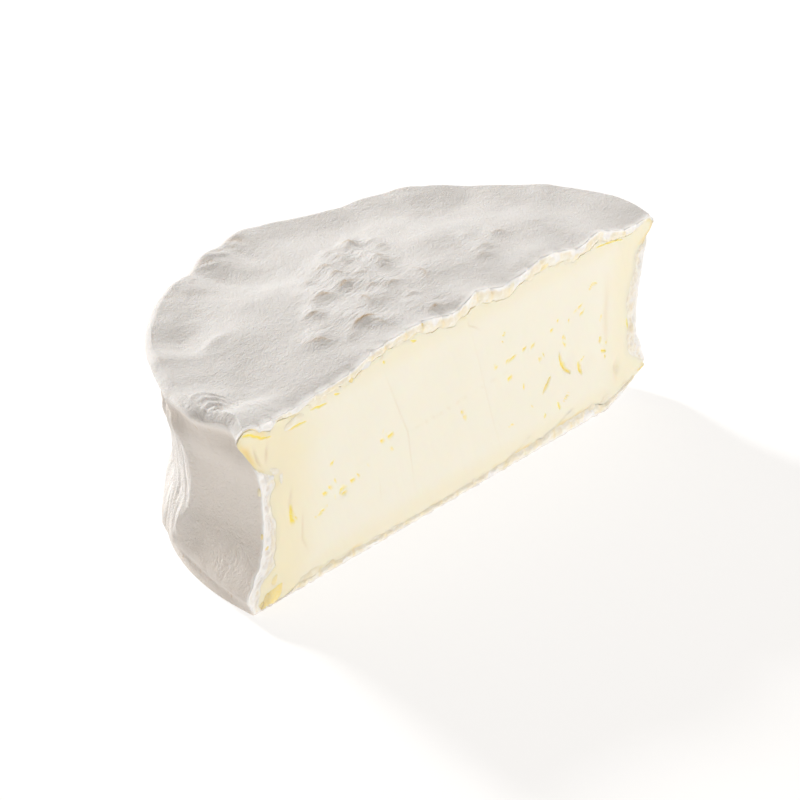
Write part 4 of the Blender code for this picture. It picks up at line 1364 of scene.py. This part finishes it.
class Nodes:
    """Small helper that adds nodes to a material. Sizes are in millimetres."""

    def __init__(self, name):
        self.material = bpy.data.materials.new(name)
        self.material.use_nodes = True
        self.tree = self.material.node_tree
        self.shader = self.tree.nodes["Principled BSDF"]
        self.place = self.add("ShaderNodeTexCoord").outputs["Object"]

    def add(self, kind, inputs=None, **settings):
        node = self.tree.nodes.new(kind)
        for name, value in settings.items():
            setattr(node, name, value)
        fill(node, inputs or {})
        return node

    def noise(self, size, detail, roughness=0.55, stretch=(1, 1, 1), turn=0):
        """Noise whose features are about size across, stretched and turned about the upright axis."""
        turned_by = (0, 0, math.radians(turn))
        scale = [size * MM * k for k in stretch]
        inputs = {"Vector": self.place, "Rotation": turned_by, "Scale": scale}
        place = self.add("ShaderNodeMapping", inputs, vector_type="TEXTURE").outputs["Vector"]
        inputs = {"Vector": place, "Scale": 1, "Detail": detail, "Roughness": roughness}
        return self.add("ShaderNodeTexNoise", inputs).outputs["Fac"]

    def span(self, value, low, high, to_low=0, to_high=1):
        """Value stretched from low..high to to_low..to_high, and kept inside."""
        inputs = {"Value": value, "From Min": low, "From Max": high, "To Min": to_low, "To Max": to_high}
        return self.add("ShaderNodeMapRange", inputs).outputs["Result"]

    def patches(self, kind, least=0):
        """Noise of a kind, stretched to run from least to 1."""
        size, detail, low, high = kind
        return self.span(self.noise(size, detail), low, high, least)

    def times(self, first, second):
        return self.add("ShaderNodeMath", {0: first, 1: second}, operation="MULTIPLY").outputs["Value"]

    def mark(self, name):
        return self.add("ShaderNodeAttribute", attribute_name=name).outputs["Fac"]

    def mix(self, share, first, second):
        """Colour between first and second; each is a colour or a socket."""
        return self.add("ShaderNodeMix", {0: share, 6: first, 7: second}, data_type="RGBA").outputs[2]

    def bumps(self, *layers):
        """Roughen the shader's surface by layers of (height, depth in millimetres, strength)."""
        below = {}
        for height, depth, strength in layers:
            inputs = {"Height": height, "Distance": depth * MM, "Strength": strength, **below}
            below = {"Normal": self.add("ShaderNodeBump", inputs).outputs["Normal"]}
        fill(self.shader, below)


def rind_material():
    n = Nodes("rind")
    colour = n.mix(n.patches(CLOUDS), RIND_WHITE, RIND_GREY)
    # Painted shade on the wall, warm and darker, and painted highlight on the rind's edge and flap.
    for mark, tone in (("warm", WARM_SHADE_COLOUR), ("dim", DARK_SHADE_COLOUR), ("pale", HIGHLIGHT_WHITE)):
        colour = n.mix(n.mark(mark), colour, tone)
    section = n.mix(n.patches(MOTTLES), SECTION_BEIGE, SECTION_PALE)
    colour = n.mix(n.mark("cut"), colour, section)
    colour = n.mix(n.times(n.mark("stain"), n.patches(BLOTCHES, BLOTCH_LEAST)), colour, STAIN_YELLOW)
    # Crease colour: real tan lines, specks and brown, plus painted shade in the section's fissures.
    colour = n.mix(n.times(n.mark("crease"), n.patches(BREAKS)), colour, TAN_AND_FISSURE_SHADE)
    outside = n.span(n.mark("section"), 0, 1, 1, SECTION_STRENGTH)
    wrinkles = n.times(n.noise(*FINE_WRINKLES), n.mark("wrinkled"))
    n.bumps(
        (n.noise(*PORES), PORE_DEPTH, outside),
        (n.noise(*DIMPLES), DIMPLE_DEPTH, outside),
        (wrinkles, FINE_WRINKLE_DEPTH, FINE_WRINKLE_STRENGTH),
    )
    fill(n.shader, {"Base Color": colour, **RIND_LOOKS})
    return n.material


def paste_material():
    n = Nodes("paste")
    colour = n.mix(n.mark("cream"), PASTE_IVORY, PASTE_CREAM)
    colour = n.mix(n.times(n.mark("lines"), LINE_STRENGTH), colour, LINE_TAN)
    for mark, tone in (("edge", SEAM_YELLOW), ("torn", TEAR_YELLOW), ("brown", HORN_BROWN)):
        colour = n.mix(n.mark(mark), colour, tone)
    n.bumps((n.noise(*PASTE_PORES), PASTE_PORE_DEPTH, PASTE_PORE_STRENGTH))
    fill(n.shader, {"Base Color": colour, **PASTE_LOOKS})
    return n.material


# -------------------- stage: floor, lights and camera

def add_object(name, data):
    item = bpy.data.objects.new(name, data)
    bpy.context.scene.collection.objects.link(item)
    return item


def direction(angle, elevation):
    """Unit vector towards an angle round the wheel and an elevation, both in degrees."""
    angle, elevation = math.radians(angle), math.radians(elevation)
    flat = math.cos(elevation)
    return Vector((math.cos(angle) * flat, math.sin(angle) * flat, math.sin(elevation)))


def aim(item, place, target):
    """Put an object in its place and turn it to face a target."""
    item.location = place
    item.rotation_euler = (Vector(target) - place).to_track_quat("-Z", "Y").to_euler()


def add_light(name, angle, elevation, size, energy, colour):
    """Round soft light, aimed at the wheel's middle."""
    light = bpy.data.lights.new(name, "AREA")
    light.shape = "DISK"
    light.size = size
    light.energy = energy
    light.color = colour
    aim(add_object(name, light), direction(angle, elevation) * LIGHT_DISTANCE, LIGHT_TARGET)


def add_floor():
    mesh = bpy.data.meshes.new("floor")
    low, high = -FLOOR_HALF, FLOOR_HALF
    corners = [(low, low, 0), (high, low, 0), (high, high, 0), (low, high, 0)]
    mesh.from_pydata(corners, [], [(0, 1, 2, 3)])
    material = bpy.data.materials.new("floor")
    material.use_nodes = True
    fill(material.node_tree.nodes["Principled BSDF"], FLOOR_LOOKS)
    mesh.materials.append(material)
    add_object("floor", mesh)


def add_camera(shift):
    camera = bpy.data.cameras.new("camera")
    camera.lens = CAMERA_LENS
    camera.sensor_width = CAMERA_SENSOR
    camera.clip_start = CAMERA_CLIP
    viewer = add_object("camera", camera)
    target = (Vector(CAMERA_TARGET) + Vector(shift)) * MM
    away = direction(CAMERA_ANGLE, CAMERA_ELEVATION) * CAMERA_DISTANCE * MM
    aim(viewer, target + away, target)
    bpy.context.scene.camera = viewer


def add_world():
    world = bpy.data.worlds.new("studio")
    world.use_nodes = True
    fill(world.node_tree.nodes["Background"], {"Color": WORLD_COLOUR, "Strength": WORLD_STRENGTH})
    bpy.context.scene.world = world


# -------------------- putting it together

def place_of(body):
    """Shift, in millimetres, that lays the rind's ends, back and base on those of the CAD box."""
    points = np.concatenate(body.points)
    low, high = points.min(0), points.max(0)
    cad_low, cad_high = (np.array(corner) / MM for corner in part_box("cheese"))
    shift = (cad_low + cad_high) / 2 - (low + high) / 2
    shift[1] = cad_high[1] - high[1]
    shift[2] = cad_low[2] - low[2]
    return shift


def add_piece(name, body, material, shift):
    mesh = body.mesh(name, shift)
    mesh.materials.append(material)
    piece = add_object(name, mesh)
    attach(piece, "root")
    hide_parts("cheese")


rind_body = rind_mesh()
shift = place_of(rind_body)
rind_looks = rind_material()
add_piece("rind", rind_body, rind_looks, shift)
add_piece("paste", paste_mesh(), paste_material(), shift)
add_piece("rind_lumps", lump_mesh(), rind_looks, shift)
add_camera(shift)
add_world()
add_floor()
for light in LIGHTS:
    add_light(*light)
bpy.context.scene.view_settings.view_transform = "Standard"
